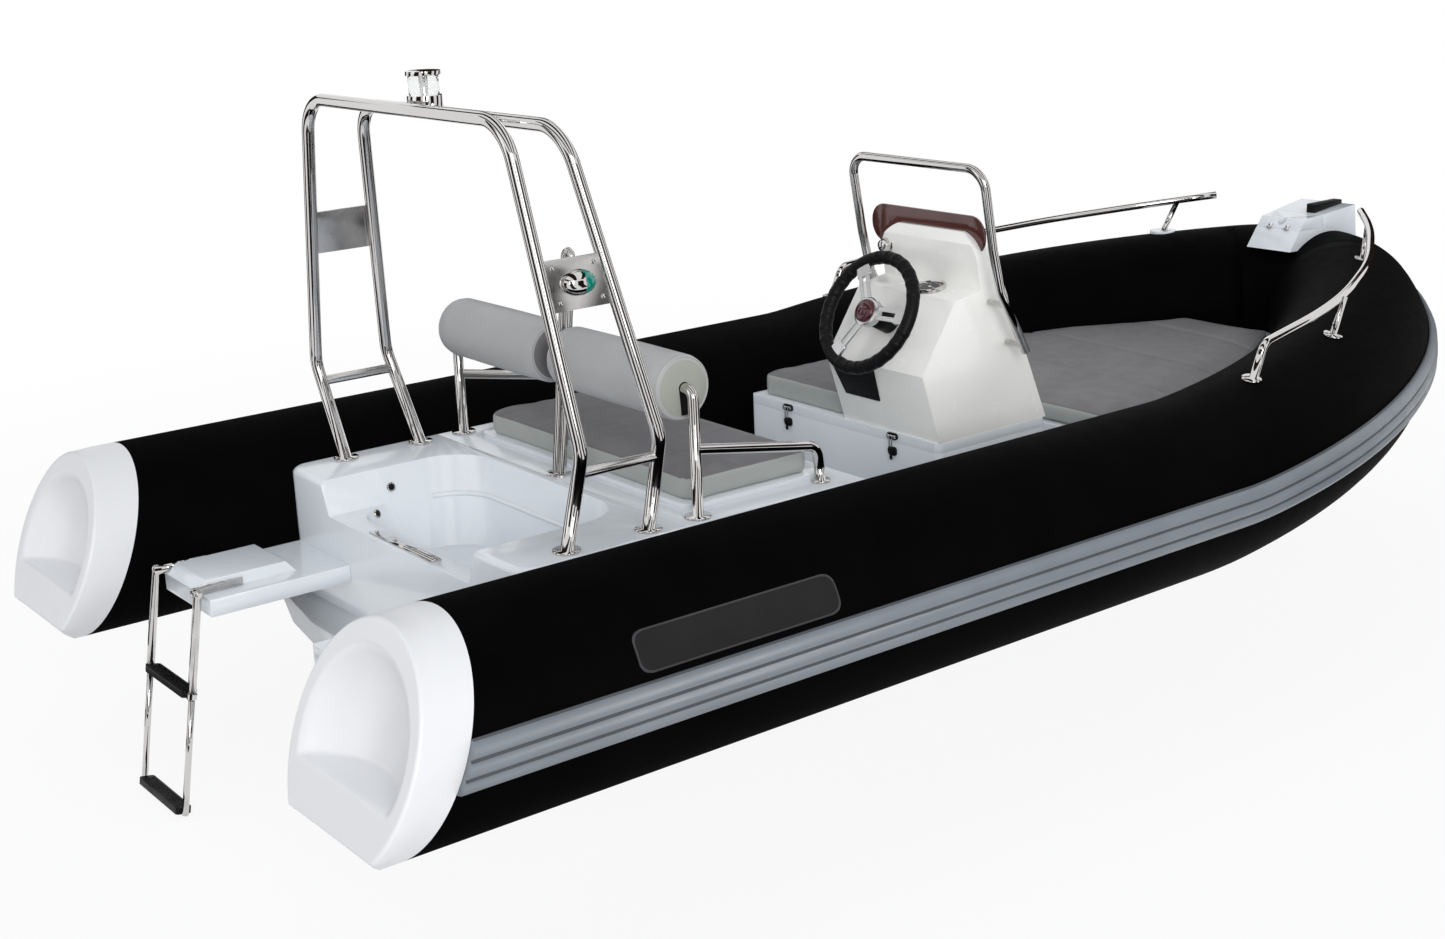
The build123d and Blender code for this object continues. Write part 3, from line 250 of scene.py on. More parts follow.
def slab(bm, place, outline, depth, edge):
    """Flat plate with an eased top edge; outline lies in the placement's XY, anticlockwise."""
    middle = Vector((sum(p[0] for p in outline), sum(p[1] for p in outline))) / len(outline)
    rings = []
    for inset, h in ((0, 0), (0, depth - edge), (edge, depth)):
        ring = []
        for p in outline:
            q = Vector(p) - middle
            q = middle + q * max(0.0, 1 - inset / max(q.length, 1e-6))
            ring.append(bm.verts.new(place @ Vector((q.x, q.y, h))))
        rings.append(ring)
    rings_to_faces(bm, rings)
    bm.faces.new(rings[-1])
    bm.faces.new(rings[0][::-1])


def rounded(width, height, radius, steps=6):
    """Rounded rectangle about the origin, anticlockwise."""
    points = []
    for k, (sx, sy) in enumerate(((1, 1), (-1, 1), (-1, -1), (1, -1))):
        for i in range(steps + 1):
            t = math.pi / 2 * (k + i / steps)
            points.append((sx * (width / 2 - radius) + radius * math.cos(t),
                           sy * (height / 2 - radius) + radius * math.sin(t)))
    return points


def rod(bm, points, radius, segs=14):
    """Round bar through points, with closed ends."""
    points = [Vector(p) for p in points]
    rings = []
    side = None
    for i, p in enumerate(points):
        ahead = (points[min(i + 1, len(points) - 1)] - points[max(i - 1, 0)]).normalized()
        place = basis(p, ahead, side if side is not None else (0.3, 0.2, 0.9))
        side = place.to_3x3() @ Vector((1, 0, 0))
        rings.append([bm.verts.new(place @ Vector((radius * math.cos(2 * math.pi * k / segs),
                                                   radius * math.sin(2 * math.pi * k / segs), 0)))
                      for k in range(segs)])
    rings_to_faces(bm, rings)
    bm.faces.new(rings[0][::-1])
    bm.faces.new(rings[-1])


SCREW = [(0.0, -0.001), (0.0055, -0.001), (0.0055, 0.0006), (0.0045, 0.0016), (0.0018, 0.0021),
         (0.0016, 0.0008), (0.0, 0.0008)]


def screw(bm, place):
    """Screw head with a socket."""
    spin(bm, place, SCREW, 12)


def screw_ring(bm, at, axis, radius, count, start):
    """Screw heads round a flange."""
    place = basis(at, axis)
    for i in range(count):
        t = start + 2 * math.pi * i / count
        screw(bm, place @ Matrix.Translation((radius * math.cos(t), radius * math.sin(t), 0)))


def done(bm, name, look, body, angle=CREASE):
    """Finished piece from a mesh, riding on a body."""
    bmesh.ops.recalc_face_normals(bm, faces=bm.faces)
    mesh = bpy.data.meshes.new(name)
    bm.to_mesh(mesh)
    bm.free()
    mesh.materials.append(LOOKS[look] if look in LOOKS else look)
    for face in mesh.polygons:
        face.use_smooth = True
    mesh.set_sharp_from_angle(angle=math.radians(angle))
    o = bpy.data.objects.new(name, mesh)
    scene.collection.objects.link(o)
    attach(o, body)
    return o


def bow_point(u, y, up):
    """Point u forward of the sheer knee, up above the raised plane of the bow."""
    return Vector((KNEE_X + u * math.cos(SHEER) - up * math.sin(SHEER), y,
                   KNEE_Z + u * math.sin(SHEER) + up * math.cos(SHEER)))


def swing(turn, out, up, side):
    """Point beside the bow tube's axis at a heading in degrees."""
    h = math.radians(turn)
    q = BOW_R + out
    p = bow_point(q * math.sin(h), TUBE_Y - BOW_R + q * math.cos(h), up)
    p.y *= side
    return p


# Soft pads: swollen vinyl over the room of a CAD solid

PRESSURE, CLOTH_FRAMES = 4.0, 20
PAD_SPILL, PAD_FOOT = 0.004, 0.0006
SEAM_DEEP, SEAM_WIDE, SEAM_FROM = 0.006, 0.010, 0.6
TOP_FACING = 0.62


def plain_mesh(o):
    """Mesh of an object with its modifiers in it."""
    graph = bpy.context.evaluated_depsgraph_get()
    return bpy.data.meshes.new_from_object(o.evaluated_get(graph))


def soft_pad(name, source, body, voxel, cap, shrink, seams=()):
    """Stuffed pad: remeshed, blown up by cloth pressure, flat below, with sewn channels on top."""
    lo, hi = (Vector(c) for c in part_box(source))
    middle = (lo + hi) / 2
    mesh = nodes[source].data.copy()
    for v in mesh.vertices:
        for k in (0, 1):
            v.co[k] = middle[k] + (v.co[k] - middle[k]) * (1 - 2 * shrink / (hi[k] - lo[k]))
        v.co.z = lo.z + (v.co.z - lo.z) * (1 - shrink / (hi.z - lo.z))
    pad = bpy.data.objects.new(name, mesh)
    scene.collection.objects.link(pad)
    remesh = pad.modifiers.new("remesh", "REMESH")
    remesh.mode = "VOXEL"
    remesh.voxel_size = voxel
    ease = pad.modifiers.new("ease", "SMOOTH")
    ease.factor = 0.5
    ease.iterations = 5
    mesh = plain_mesh(pad)
    pad.modifiers.clear()
    pad.data = mesh
    rest = [v.co.copy() for v in mesh.vertices]
    cloth = pad.modifiers.new("cloth", "CLOTH")
    cloth.settings.use_pressure = True
    cloth.settings.uniform_pressure_force = PRESSURE
    cloth.settings.effector_weights.gravity = 0.0
    cloth.collision_settings.use_collision = False
    for f in range(1, CLOTH_FRAMES + 1):
        scene.frame_set(f)
    blown = [v.co.copy() for v in plain_mesh(pad).vertices]
    pad.modifiers.clear()
    scene.frame_set(1)
    for v, was, now in zip(mesh.vertices, rest, blown):
        move = now - was
        v.co = was + move * min(1.0, cap / max(move.length, 1e-6))
    for v in mesh.vertices:
        for k in (0, 1):
            v.co[k] = min(max(v.co[k], lo[k] - PAD_SPILL), hi[k] + PAD_SPILL)
        v.co.z = max(v.co.z, lo.z + PAD_FOOT)
        for (ax, ay), (bx, by) in seams:
            along = Vector((bx - ax, by - ay))
            t = ((v.co.x - ax) * along.x + (v.co.y - ay) * along.y) / along.length_squared
            t = min(1.0, max(0.0, t))
            away = math.hypot(v.co.x - ax - t * along.x, v.co.y - ay - t * along.y)
            if v.co.z > lo.z + SEAM_FROM * (hi.z - lo.z):
                v.co.z -= SEAM_DEEP * math.exp(-(away / SEAM_WIDE) ** 2)
    mesh.materials.clear()
    mesh.materials.append(LOOKS["vinyl_grey"])
    mesh.materials.append(SIDE_VINYL)
    for face in mesh.polygons:
        face.use_smooth = True
        face.material_index = 0 if face.normal.z > TOP_FACING else 1
    finer = pad.modifiers.new("finer", "SUBSURF")
    finer.levels = 1
    finer.render_levels = 1
    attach(pad, body)
    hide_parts(source)


BOW_SEAMS = [((2.465, 0.60), (2.405, -0.60)), ((2.762, 0.55), (2.698, -0.55)),
             ((3.118, 0.36), (3.046, -0.36))]
soft_pad("seat_pad", "seat_cushion", "seat", 0.009, 0.013, 0.006)
soft_pad("console_pad", "console_cushion", "console", 0.008, 0.010, 0.005)
soft_pad("bow_pad", "bow_cushion", "boat", 0.011, 0.014, 0.008, BOW_SEAMS)

# Backrest rolls with welted ends and a black keyhole at the slot for the tube, painted shade for the slot's
# opening; profiles are (radius, height)
ROLL_R, ROLL_END, ROLL_CROWN = 0.082, 0.016, 0.0012
ROLL_RINGS, ROLL_SEGS = 14, 56
ROLL_WELT = [(0.068, 0.001), (0.0745, 0.0035), (0.0765, 0.0015), (0.0795, 0.0045), (0.0785, 0.0075),
             (ROLL_R, ROLL_END)]
ROLL_DISC = [(0.0695, 0), (0.066, 0.002), (0.045, 0.0032), (0.02, 0.0036), (0, 0.0036)]
SLOT_R, SLOT_TURN, SLOT_STEPS = 0.016, 0.42 * math.pi, 12
KEYHOLE = []
for i in range(SLOT_STEPS + 1):
    t = SLOT_TURN * (2 * i / SLOT_STEPS - 1)
    KEYHOLE.append((SLOT_R * math.cos(t), SLOT_R * math.sin(t)))
KEYHOLE += [(-0.066, 0.010), (-0.067, 0.0), (-0.066, -0.010)]
for side, word in ((1, "port"), (-1, "starboard")):
    lo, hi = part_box("backrest_roll_" + word)
    x, z = (lo[0] + hi[0]) / 2, (lo[2] + hi[2]) / 2
    inner, outer = (lo[1], hi[1]) if side > 0 else (hi[1], lo[1])
    length = abs(outer - inner)
    place = basis((x, inner, z), (0, side, 0))
    bm = bmesh.new()
    profile = list(ROLL_WELT)
    for i in range(1, ROLL_RINGS):
        t = i / ROLL_RINGS
        profile.append((ROLL_R + ROLL_CROWN * math.sin(math.pi * t), ROLL_END + t * (length - 2 * ROLL_END)))
    profile += [(r, length - h) for r, h in reversed(ROLL_WELT)]
    spin(bm, place, profile, ROLL_SEGS)
    roll = done(bm, "roll_cover_" + word, "roll_grey", "boat", angle=60)
    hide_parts("backrest_roll_" + word)
    # The inner end discs take the dark cushion vinyl as painted shade; the outer ends are greenish grey vinyl
    for end, h, out, look in (("inner", 0.001, -1, "vinyl_grey"), ("outer", length - 0.001, 1, END_VINYL)):
        bm = bmesh.new()
        spin(bm, place @ Matrix.Translation((0, 0, h)), [(r, deep * out) for r, deep in ROLL_DISC], ROLL_SEGS)
        done(bm, "roll_%s_end_%s" % (end, word), look, "boat", angle=60)
    # Black keyhole plate on the outer end: painted shade in the tube's slot
    bm = bmesh.new()
    slot_at = basis((x, outer + side * 0.002, z), (0, side, 0), UP)
    slab(bm, slot_at, KEYHOLE, 0.0026, 0.0008)
    done(bm, "roll_slot_shade_" + word, "black_plastic", "boat")

# Steering wheel: paired spokes, a boss, an enamelled cap and a lumpy grip
BOSS = [(0, -0.018), (0.036, -0.018), (0.040, -0.012), (0.040, 0.006), (0.043, 0.008), (0.043, 0.012),
        (0.038, 0.0145), (0.034, 0.0145), (0, 0.0145)]
WHEEL_CAP = [(0.0335, 0.0135), (0.0335, 0.019), (0.031, 0.023), (0.026, 0.0255), (0.018, 0.026),
             (0.0165, 0.0242), (0.0155, 0.026), (0.010, 0.0285), (0, 0.0295)]
GRIP = [(WHEEL_RIM - 0.002, -0.011), (WHEEL_RIM + 0.0006, -0.008), (WHEEL_RIM + 0.0012, 0),
        (WHEEL_RIM + 0.0006, 0.008), (WHEEL_RIM - 0.002, 0.011)]
GRIP_LUMPS, GRIP_CLEAR = 28, 14
SPOKE_IN, SPOKE_LANE = 0.030, 0.0125
SPOKE_LONG = WHEEL_R - WHEEL_RIM - SPOKE_IN
SPOKE = [(0, -0.006), (SPOKE_LONG, -0.0065), (SPOKE_LONG, 0.0065), (0, 0.006)]
SPOKE_PAD_R = WHEEL_R - 2 * WHEEL_RIM - 0.012
axle = Vector((-math.cos(WHEEL_TILT), 0, math.sin(WHEEL_TILT)))
rise = Vector((math.sin(WHEEL_TILT), 0, math.cos(WHEEL_TILT)))
bm = bmesh.new()
place = basis(HUB, axle, PORT)
spin(bm, place, BOSS, 48)
for turn in SPOKES:
    t = math.radians(turn)
    reach = PORT * math.cos(t) + rise * math.sin(t)
    across = axle.cross(reach)
    for lane in (-SPOKE_LANE, SPOKE_LANE):
        start = HUB + reach * SPOKE_IN + across * lane + axle * 0.004
        slab(bm, basis(start, axle, reach), SPOKE, 0.005, 0.0015)
    pad_at = basis(HUB + reach * SPOKE_PAD_R + axle * 0.002, axle, reach)
    slab(bm, pad_at, rounded(0.040, 0.048, 0.006), 0.0075, 0.002)
hub_piece = done(bm, "wheel_spokes", SATIN, "wheel")
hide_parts("steering_hub")
bm = bmesh.new()
spin(bm, place, WHEEL_CAP, 48)
done(bm, "wheel_cap", MAROON, "wheel")
bm = bmesh.new()
for k in range(GRIP_LUMPS):
    t = 2 * math.pi * k / GRIP_LUMPS
    if min(abs((math.degrees(t) - s + 180) % 360 - 180) for s in SPOKES) < GRIP_CLEAR:
        continue
    reach = PORT * math.cos(t) + rise * math.sin(t)
    ring = basis(HUB + reach * (WHEEL_R - WHEEL_RIM), axle.cross(reach), axle)
    spin(bm, ring, GRIP, 28)
done(bm, "wheel_grip", "black_plastic", "wheel", angle=60)

# Console gauge and horn dome
BEZEL = [(0.0385, 0.0005), (0.0385, 0.003), (0.041, 0.0055), (0.0455, 0.0055), (0.0475, 0.003),
         (0.0475, -0.0055), (0.044, -0.0055), (0.044, 0.0), (0.0385, 0.0005)]
TICKS, TICK_FROM, TICK_STEP = 25, -210, 10
TICK_R, TICK_HALF_WIDE = 0.034, 0.0006
NEEDLE = [(-0.006, -0.0013), (0.027, -0.0005), (0.027, 0.0005), (-0.006, 0.0013)]
NEEDLE_TURN = math.radians(-190)
HORN = [(0.0235, -0.002), (0.0235, 0.002), (0.0195, 0.004), (0.0185, 0.018), (0.016, 0.024),
        (0.010, 0.0275), (0.0, 0.0285)]
shelf = Vector((0.101, 0, 0.016)).normalized()
shelf_up = Vector((-shelf.z, 0, shelf.x))
gauge_at = Vector((BOX_AFT + 0.1295, CONSOLE_Y - 0.036, LID_TOP + 0.401)) + shelf_up * 0.006
gauge = basis(gauge_at, shelf_up, PORT)
bm = bmesh.new()
spin(bm, gauge, BEZEL, 48)
done(bm, "gauge_bezel", "stainless", "console")
bm = bmesh.new()
spin(bm, gauge, [(0.0385, 0.0008), (0.0, 0.0008)], 48)
done(bm, "gauge_face", DIAL, "console")
bm = bmesh.new()
for k in range(TICKS):
    t = math.radians(TICK_FROM + TICK_STEP * k)
    long = 0.007 if k % 4 == 0 else 0.004
    tick = gauge @ Matrix.Rotation(t, 4, "Z") @ Matrix.Translation((TICK_R - long / 2, 0, 0.0008))
    stroke = [(sx * long / 2, sy * TICK_HALF_WIDE) for sx, sy in ((-1, -1), (1, -1), (1, 1), (-1, 1))]
    slab(bm, tick, stroke, 0.0004, 0.0001)
needle = gauge @ Matrix.Rotation(NEEDLE_TURN, 4, "Z") @ Matrix.Translation((0, 0, 0.0012))
slab(bm, needle, NEEDLE, 0.0008, 0.0002)
spin(bm, gauge, [(0.004, 0.001), (0.004, 0.0026), (0.003, 0.003), (0, 0.003)], 20)
done(bm, "gauge_marks", DIAL_WHITE, "console")
horn_at = Vector((BOX_AFT + 0.1667, -0.038, LID_TOP + 0.498))
bm = bmesh.new()
spin(bm, basis(horn_at, AFT), HORN, 32)
done(bm, "horn_dome", "stainless", "console")

# Lid latches: plate, strap and catch
LATCH_Y = 0.234
bm_plate, bm_strap, bm_base = bmesh.new(), bmesh.new(), bmesh.new()
lo_top, hi_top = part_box("lid_latches")
lo_low, hi_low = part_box("latch_keepers")
for y in (-LATCH_Y, LATCH_Y):
    top = Vector((hi_top[0], y, (lo_top[2] + hi_top[2]) / 2 + 0.002))
    slab(bm_plate, basis(top, AFT, UP), rounded(0.020, 0.044, 0.0095), 0.007, 0.002)
    for dy in (-0.014, 0.014):
        screw(bm_strap, basis(top + Vector((-0.007, dy, 0)), AFT))
    rod(bm_strap, [top + Vector((-0.0065, -0.013, 0.002)), top + Vector((-0.0065, 0.013, 0.002))], 0.0026)
    for dy in (-0.006, 0.006):
        rod(bm_strap, [top + Vector((-0.0085, dy, 0)), top + Vector((-0.0095, dy * 0.9, -0.016)),
                       top + Vector((-0.0105, dy * 0.8, -0.030))], 0.0021)
    low = Vector((hi_low[0], y, (lo_low[2] + hi_low[2]) / 2))
    slab(bm_base, basis(low, AFT, UP), rounded(0.026, 0.034, 0.009), 0.0065, 0.002)
    catch = basis(low + Vector((-0.006, 0, 0.004)), AFT, UP)
    slab(bm_base, catch, rounded(0.012, 0.026, 0.004), 0.005, 0.002)
    rod(bm_base, [low + Vector((-0.007, 0, -0.006)), low + Vector((-0.009, 0, -0.018)),
                  low + Vector((-0.0065, 0, -0.023))], 0.0042)
done(bm_strap, "latch_straps", "stainless", "console")
plates = done(bm_plate, "latch_plates", "black_plastic", "console")
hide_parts("lid_latches")
bases = done(bm_base, "latch_bases", "black_plastic", "boat")
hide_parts("latch_keepers")

# Screws in the flanges of the arch and rails and in the arch plates
FLANGE_UP, FLANGE_SCREWS = 0.006, 0.0265
RAIL_FEET = ((16.6, 0.066), (38.4, 0.045), (4.6, 0.044))
RAIL_UP, RAIL_SCREWS = 0.0048, 0.0205
PLATE_UP = 0.0045


def leg_at(name, z, side):
    """Point on an arch leg above its knee."""
    _, knee_x, top_x, top_z = ARCH[name]
    t = (z - ARCH_KNEE_Z) / (top_z - ARCH_KNEE_Z)
    return Vector((knee_x + t * (top_x - knee_x), side * (ARCH_KNEE_Y + t * (ARCH_TOP_Y - ARCH_KNEE_Y)), z))


def arch_plate(side):
    """Corners of a side plate (low aft, low fore, high aft, high fore) and its outward normal."""
    corners = [leg_at(name, z, side) for z in (PLATE_LOW, PLATE_HIGH) for name in ("aft", "fore")]
    out = (corners[2] - corners[0]).cross(FORE).normalized()
    return corners, out * (1 if out.y * side > 0 else -1)


bm = bmesh.new()
for foot_x, _, _, _ in ARCH.values():
    for side in (-1, 1):
        screw_ring(bm, (foot_x, side * ARCH_FOOT_Y, DECK_Z + FLANGE_UP), UP, FLANGE_SCREWS, 3, 0.5)
for side in (-1, 1):
    (low_a, low_f, high_a, high_f), out = arch_plate(side)
    for across in (0.19, 0.81):
        for rise_t in (0.16, 0.84):
            p = (low_a.lerp(low_f, across)).lerp(high_a.lerp(high_f, across), rise_t)
            p = p + out * (PLATE_UP - (p - low_a).dot(out))
            screw(bm, basis(p, out))
done(bm, "arch_screws", "stainless", "boat")
bm = bmesh.new()
for side in (1, -1):
    for turn, out in RAIL_FEET:
        foot = swing(turn, out, math.sqrt(TUBE_R ** 2 - out ** 2), side)
        axis = swing(turn, 0, 0, side)
        up = (foot - axis).normalized()
        screw_ring(bm, foot + up * RAIL_UP, up, RAIL_SCREWS, 3, 0.4)
done(bm, "rail_screws", "stainless", "boat")

# Side lamps: a chromed shell with its lens at the forward end
LAMP_LONG, LAMP_TALL, LAMP_DEEP, LAMP_UP = 0.046, 0.030, 0.029, 0.004
LAMP_ROWS, LAMP_COLS = 12, 40
LENS_FROM, LENS_GROW = 0.006, 1.02
for side, word, lens_look in ((-1, "starboard", "lens_green"), (1, "port", "lens_red")):
    (low_a, low_f, high_a, high_f), out = arch_plate(side)
    middle = (low_a + low_f + high_f + high_a) / 4
    middle = middle + out * (LAMP_UP - (middle - low_a).dot(out))
    lamp_at = basis(middle, out, FORE)
    lamp_turn = lamp_at.to_3x3()
    shell, glass = bmesh.new(), bmesh.new()
    flip = 1 if (lamp_turn @ FORE).x > 0 else -1
    grid = []
    for i in range(LAMP_ROWS + 1):
        lat = math.pi / 2 * i / LAMP_ROWS
        grid.append([(LAMP_LONG * math.cos(lat) * math.cos(2 * math.pi * k / LAMP_COLS),
                      LAMP_TALL * math.cos(lat) * math.sin(2 * math.pi * k / LAMP_COLS),
                      LAMP_DEEP * math.sin(lat)) for k in range(LAMP_COLS)])
    for i in range(LAMP_ROWS):
        for k in range(LAMP_COLS):
            j = (k + 1) % LAMP_COLS
            quad = [grid[i][k], grid[i][j], grid[i + 1][j], grid[i + 1][k]]
            front = sum(q[0] for q in quad) / 4 * flip > LENS_FROM
            target, grow = (glass, LENS_GROW) if front else (shell, 1.0)
            verts = []
            for q in (quad if i < LAMP_ROWS - 1 else quad[:3]):
                lift = (lamp_turn @ Vector(q)) * (grow - 1)
                verts.append(target.verts.new(lamp_at @ Vector(q) + lift))
            target.faces.new(verts)
    for target in (shell, glass):
        bmesh.ops.remove_doubles(target, verts=target.verts, dist=0.00005)
    shell_piece = done(shell, "lamp_shell_" + word, "stainless", "boat", angle=70)
    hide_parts("nav_lamp_" + word)
    glass_piece = done(glass, "lamp_glass_" + word, lens_look, "boat", angle=70)
    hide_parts("nav_lens_" + word)

# Ladder collars, pivot caps and ribbed treads
LEAN = math.radians(10)
PIVOT = Vector((-0.389, 0.438, 0.266))
LADDER_HALF = 0.137
COLLAR_DOWN, PIN_OUT = 0.262, 0.011
COLLAR = [(0.0112, 0), (0.0135, 0.001), (0.0135, 0.014), (0.0112, 0.016)]
PIN = [(0.008, 0), (0.008, 0.0025), (0.006, 0.004), (0, 0.004)]
TREAD_UP = 0.018
RIBS, RIB_STEP, RIB_HALF, RIB_R = 5, 0.007, 0.112, 0.0018
ladder_down = Vector((-math.sin(LEAN), 0, -math.cos(LEAN)))
ladder_fore = Vector((math.cos(LEAN), 0, -math.sin(LEAN)))
bm = bmesh.new()
for side in (-1, 1):
    leg = PIVOT + PORT * side * LADDER_HALF
    spin(bm, basis(leg + ladder_down * COLLAR_DOWN, ladder_down), COLLAR, 24)
    spin(bm, basis(leg + PORT * side * PIN_OUT, PORT * side), PIN, 20)
done(bm, "ladder_collars", "stainless", "ladder")
for word, reach, body in (("upper", 0.276, "ladder"), ("lower", 0.590, "ladder_end")):
    bm = bmesh.new()
    face = PIVOT + ladder_down * (reach - TREAD_UP)
    for k in range(RIBS):
        line = face + ladder_fore * (RIB_STEP * (k - (RIBS - 1) / 2))
        rod(bm, [line - PORT * RIB_HALF, line + PORT * RIB_HALF], RIB_R, 8)
    done(bm, "tread_ribs_" + word, "black_plastic", body)

# Black discs in the mouths of the cable ports, painted shade for their bores, and screws of the transom strip
# in the motor well
WELL_ROUND, WELL_SLOPE, WELL_DEEP = 0.130, 0.090, 0.231
WELL_FRONT, WELL_HALF = 0.466, 0.400
WELL_AFT, WELL_AFT_SLOPE = 0.062, 0.045
CABLE_PORTS = ((0.217, 0.403), (0.150, 0.350))
PORT_UP, PORT_R = 0.003, 0.0092
STRIP_X, STRIP_Z, STRIP_SCREWS = 0.047, 0.369, (-0.145, -0.05, 0.05, 0.145)
bm = bmesh.new()
# Each port gets a flat black disc as painted shade for its bore
for x, z in CABLE_PORTS:
    depth = (DECK_Z - z) / WELL_DEEP
    turn_x = WELL_AFT + WELL_AFT_SLOPE * depth + WELL_ROUND
    turn_y = WELL_HALF - WELL_SLOPE * depth - WELL_ROUND
    back = max(0.0, turn_x - x)
    beside = math.sqrt(WELL_ROUND ** 2 - back ** 2)
    inward = Vector((back, -beside, WELL_ROUND * WELL_SLOPE / WELL_DEEP)).normalized()
    port_at = basis(Vector((x, turn_y + beside, z)) + inward * PORT_UP, inward)
    spin(bm, port_at, [(PORT_R, 0.0), (PORT_R, 0.0006), (0, 0.0006)], 24)
done(bm, "cable_port_bore_shade", "black_plastic", "boat")
bm = bmesh.new()
for y in STRIP_SCREWS:
    screw(bm, basis((STRIP_X, y, STRIP_Z), UP))
done(bm, "strip_screws", "stainless", "boat")

# Moulded ledge round the front of the motor well, at a share of its depth
LEDGE, LEDGE_R = 0.43, 0.007
LEDGE_TURN, LEDGE_STEPS = math.radians(84), 12
bm = bmesh.new()
ledge_x = WELL_FRONT - WELL_SLOPE * LEDGE / 2 - WELL_ROUND
ledge_y = WELL_HALF - WELL_SLOPE * LEDGE - WELL_ROUND
ledge = []
for side in (1, -1):
    for k in range(LEDGE_STEPS + 1):
        t = LEDGE_TURN * (k if side < 0 else LEDGE_STEPS - k) / LEDGE_STEPS
        ledge.append((ledge_x + WELL_ROUND * math.cos(t), side * (ledge_y + WELL_ROUND * math.sin(t)),
                      DECK_Z - WELL_DEEP * LEDGE))
rod(bm, ledge, LEDGE_R, 12)
done(bm, "well_ledge", "gelcoat_white", "boat", angle=60)

# End caps: a raked face with a soft-edged arched pocket, laid out on the face's own plane
CAP_AFT, CAP_LONG, RAKE = -0.558, 0.118, 0.409
CAP_HEEL_X, CAP_TOE_X, CAP_HEEL_Z, CAP_TOE_Z = -0.62753, -0.54225, 0.120, 0.040
POCKET_R, POCKET_DEEP, POCKET_Z = 0.208, 0.095, 0.220
CAP_EDGE, POCKET_EDGE, SHELF_EDGE = 0.008, 0.014, 0.009
CAP_POINTS, EDGE_STEPS, POCKET_STEPS = 168, 5, 62
TILT = math.hypot(1, RAKE)
INTO, ALONG = Vector((1, 0, -RAKE)) / TILT, Vector((RAKE, 0, 1)) / TILT
DOME = (POCKET_R ** 2 + POCKET_DEEP ** 2) / (2 * POCKET_DEEP)


def soft_min(a, b, width):
    """Lesser of two values, rounded where they meet."""
    near = max(width - abs(a - b), 0.0) / width
    return min(a, b) - near * near * width / 4


def pocket_depth(u, v):
    """Depth of the pocket below the cap's face."""
    dome = math.sqrt(max(0.0, DOME ** 2 - u * u - v * v)) - (DOME - POCKET_DEEP)
    shelf_depth = (v / TILT + AXIS_Z - POCKET_Z) * TILT / RAKE
    return -soft_min(-soft_min(dome, shelf_depth, SHELF_EDGE), 0.0, POCKET_EDGE)


def cap_outline():
    """Edge of the face from heel round to heel, then along the chord: (u, v, on the chord)."""
    low = (AXIS_Z - CAP_HEEL_Z) * TILT
    end = math.acos(-(AXIS_Z - CAP_HEEL_Z) / TUBE_R)
    arc = CAP_POINTS * 3 // 4
    points = [(TUBE_R * math.sin(t), TUBE_R * TILT * math.cos(t), False)
              for t in [-end + 2 * end * i / arc for i in range(arc + 1)]]
    half = points[-1][0]
    rest = CAP_POINTS - arc
    return points + [(half - 2 * half * i / rest, -low, True) for i in range(1, rest)]


outline = cap_outline()
for side, word in ((1, "port"), (-1, "starboard")):
    bm = bmesh.new()
    origin = Vector((CAP_AFT, side * TUBE_Y, AXIS_Z))
    front, middle_ring = [], []
    for u, v, on_chord in outline:
        p = origin + PORT * u + ALONG * v
        if on_chord:
            z = AXIS_Z - math.sqrt(TUBE_R ** 2 - u * u)
            t = (CAP_HEEL_Z - z) / (CAP_HEEL_Z - CAP_TOE_Z)
            middle_ring.append(Vector((CAP_HEEL_X + t * (CAP_TOE_X - CAP_HEEL_X), p.y, z)))
            front.append(Vector((CAP_AFT + CAP_LONG - RAKE * (AXIS_Z - z), p.y, z)))
        else:
            middle_ring.append(p + Vector((CAP_LONG * 0.5, 0, 0)))
            front.append(p + Vector((CAP_LONG, 0, 0)))
    rings = [front, [a.lerp(b, 0.5) for a, b in zip(front, middle_ring)], middle_ring]
    for step in range(EDGE_STEPS + 1):
        a = math.pi / 2 * step / EDGE_STEPS
        inset, deep = CAP_EDGE * (1 - math.cos(a)), CAP_EDGE * (1 - math.sin(a))
        ring = []
        for u, v, _ in outline:
            scale = 1 - inset / math.hypot(u, v)
            ring.append(origin + PORT * u * scale + ALONG * v * scale + INTO * deep)
        rings.append(ring)
    for step in range(1, POCKET_STEPS):
        ring = []
        for u, v, _ in outline:
            scale = (1 - CAP_EDGE / math.hypot(u, v)) * (1 - step / POCKET_STEPS)
            deep = pocket_depth(u * scale, v * scale)
            ring.append(origin + PORT * u * scale + ALONG * v * scale + INTO * deep)
        rings.append(ring)
    rings.append([origin + INTO * pocket_depth(0, 0)])
    rings_to_faces(bm, [[bm.verts.new(p) for p in ring] for ring in rings])
    bmesh.ops.remove_doubles(bm, verts=bm.verts, dist=0.00002)
    cap_piece = done(bm, "cap_" + word, CAP_WHITE, "boat", angle=50)
    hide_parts("end_cap_" + word)

# Dark rods in the rubbing strake's two grooves and along its upper edge, painted shade in the grooves and
# under the edge:
# (angle round the tube in degrees, height off the tube, radius)
STRAKE_SHADE_LINES = ((-4.0, 0.0140, 0.0042), (4.0, 0.0140, 0.0042), (12.4, 0.0040, 0.0040))
BOW_TURN, NOSE_R = math.radians(44.75), 0.3218
RUN_STEPS, KNEE_STEPS, BOW_STEPS = 12, 4, 28


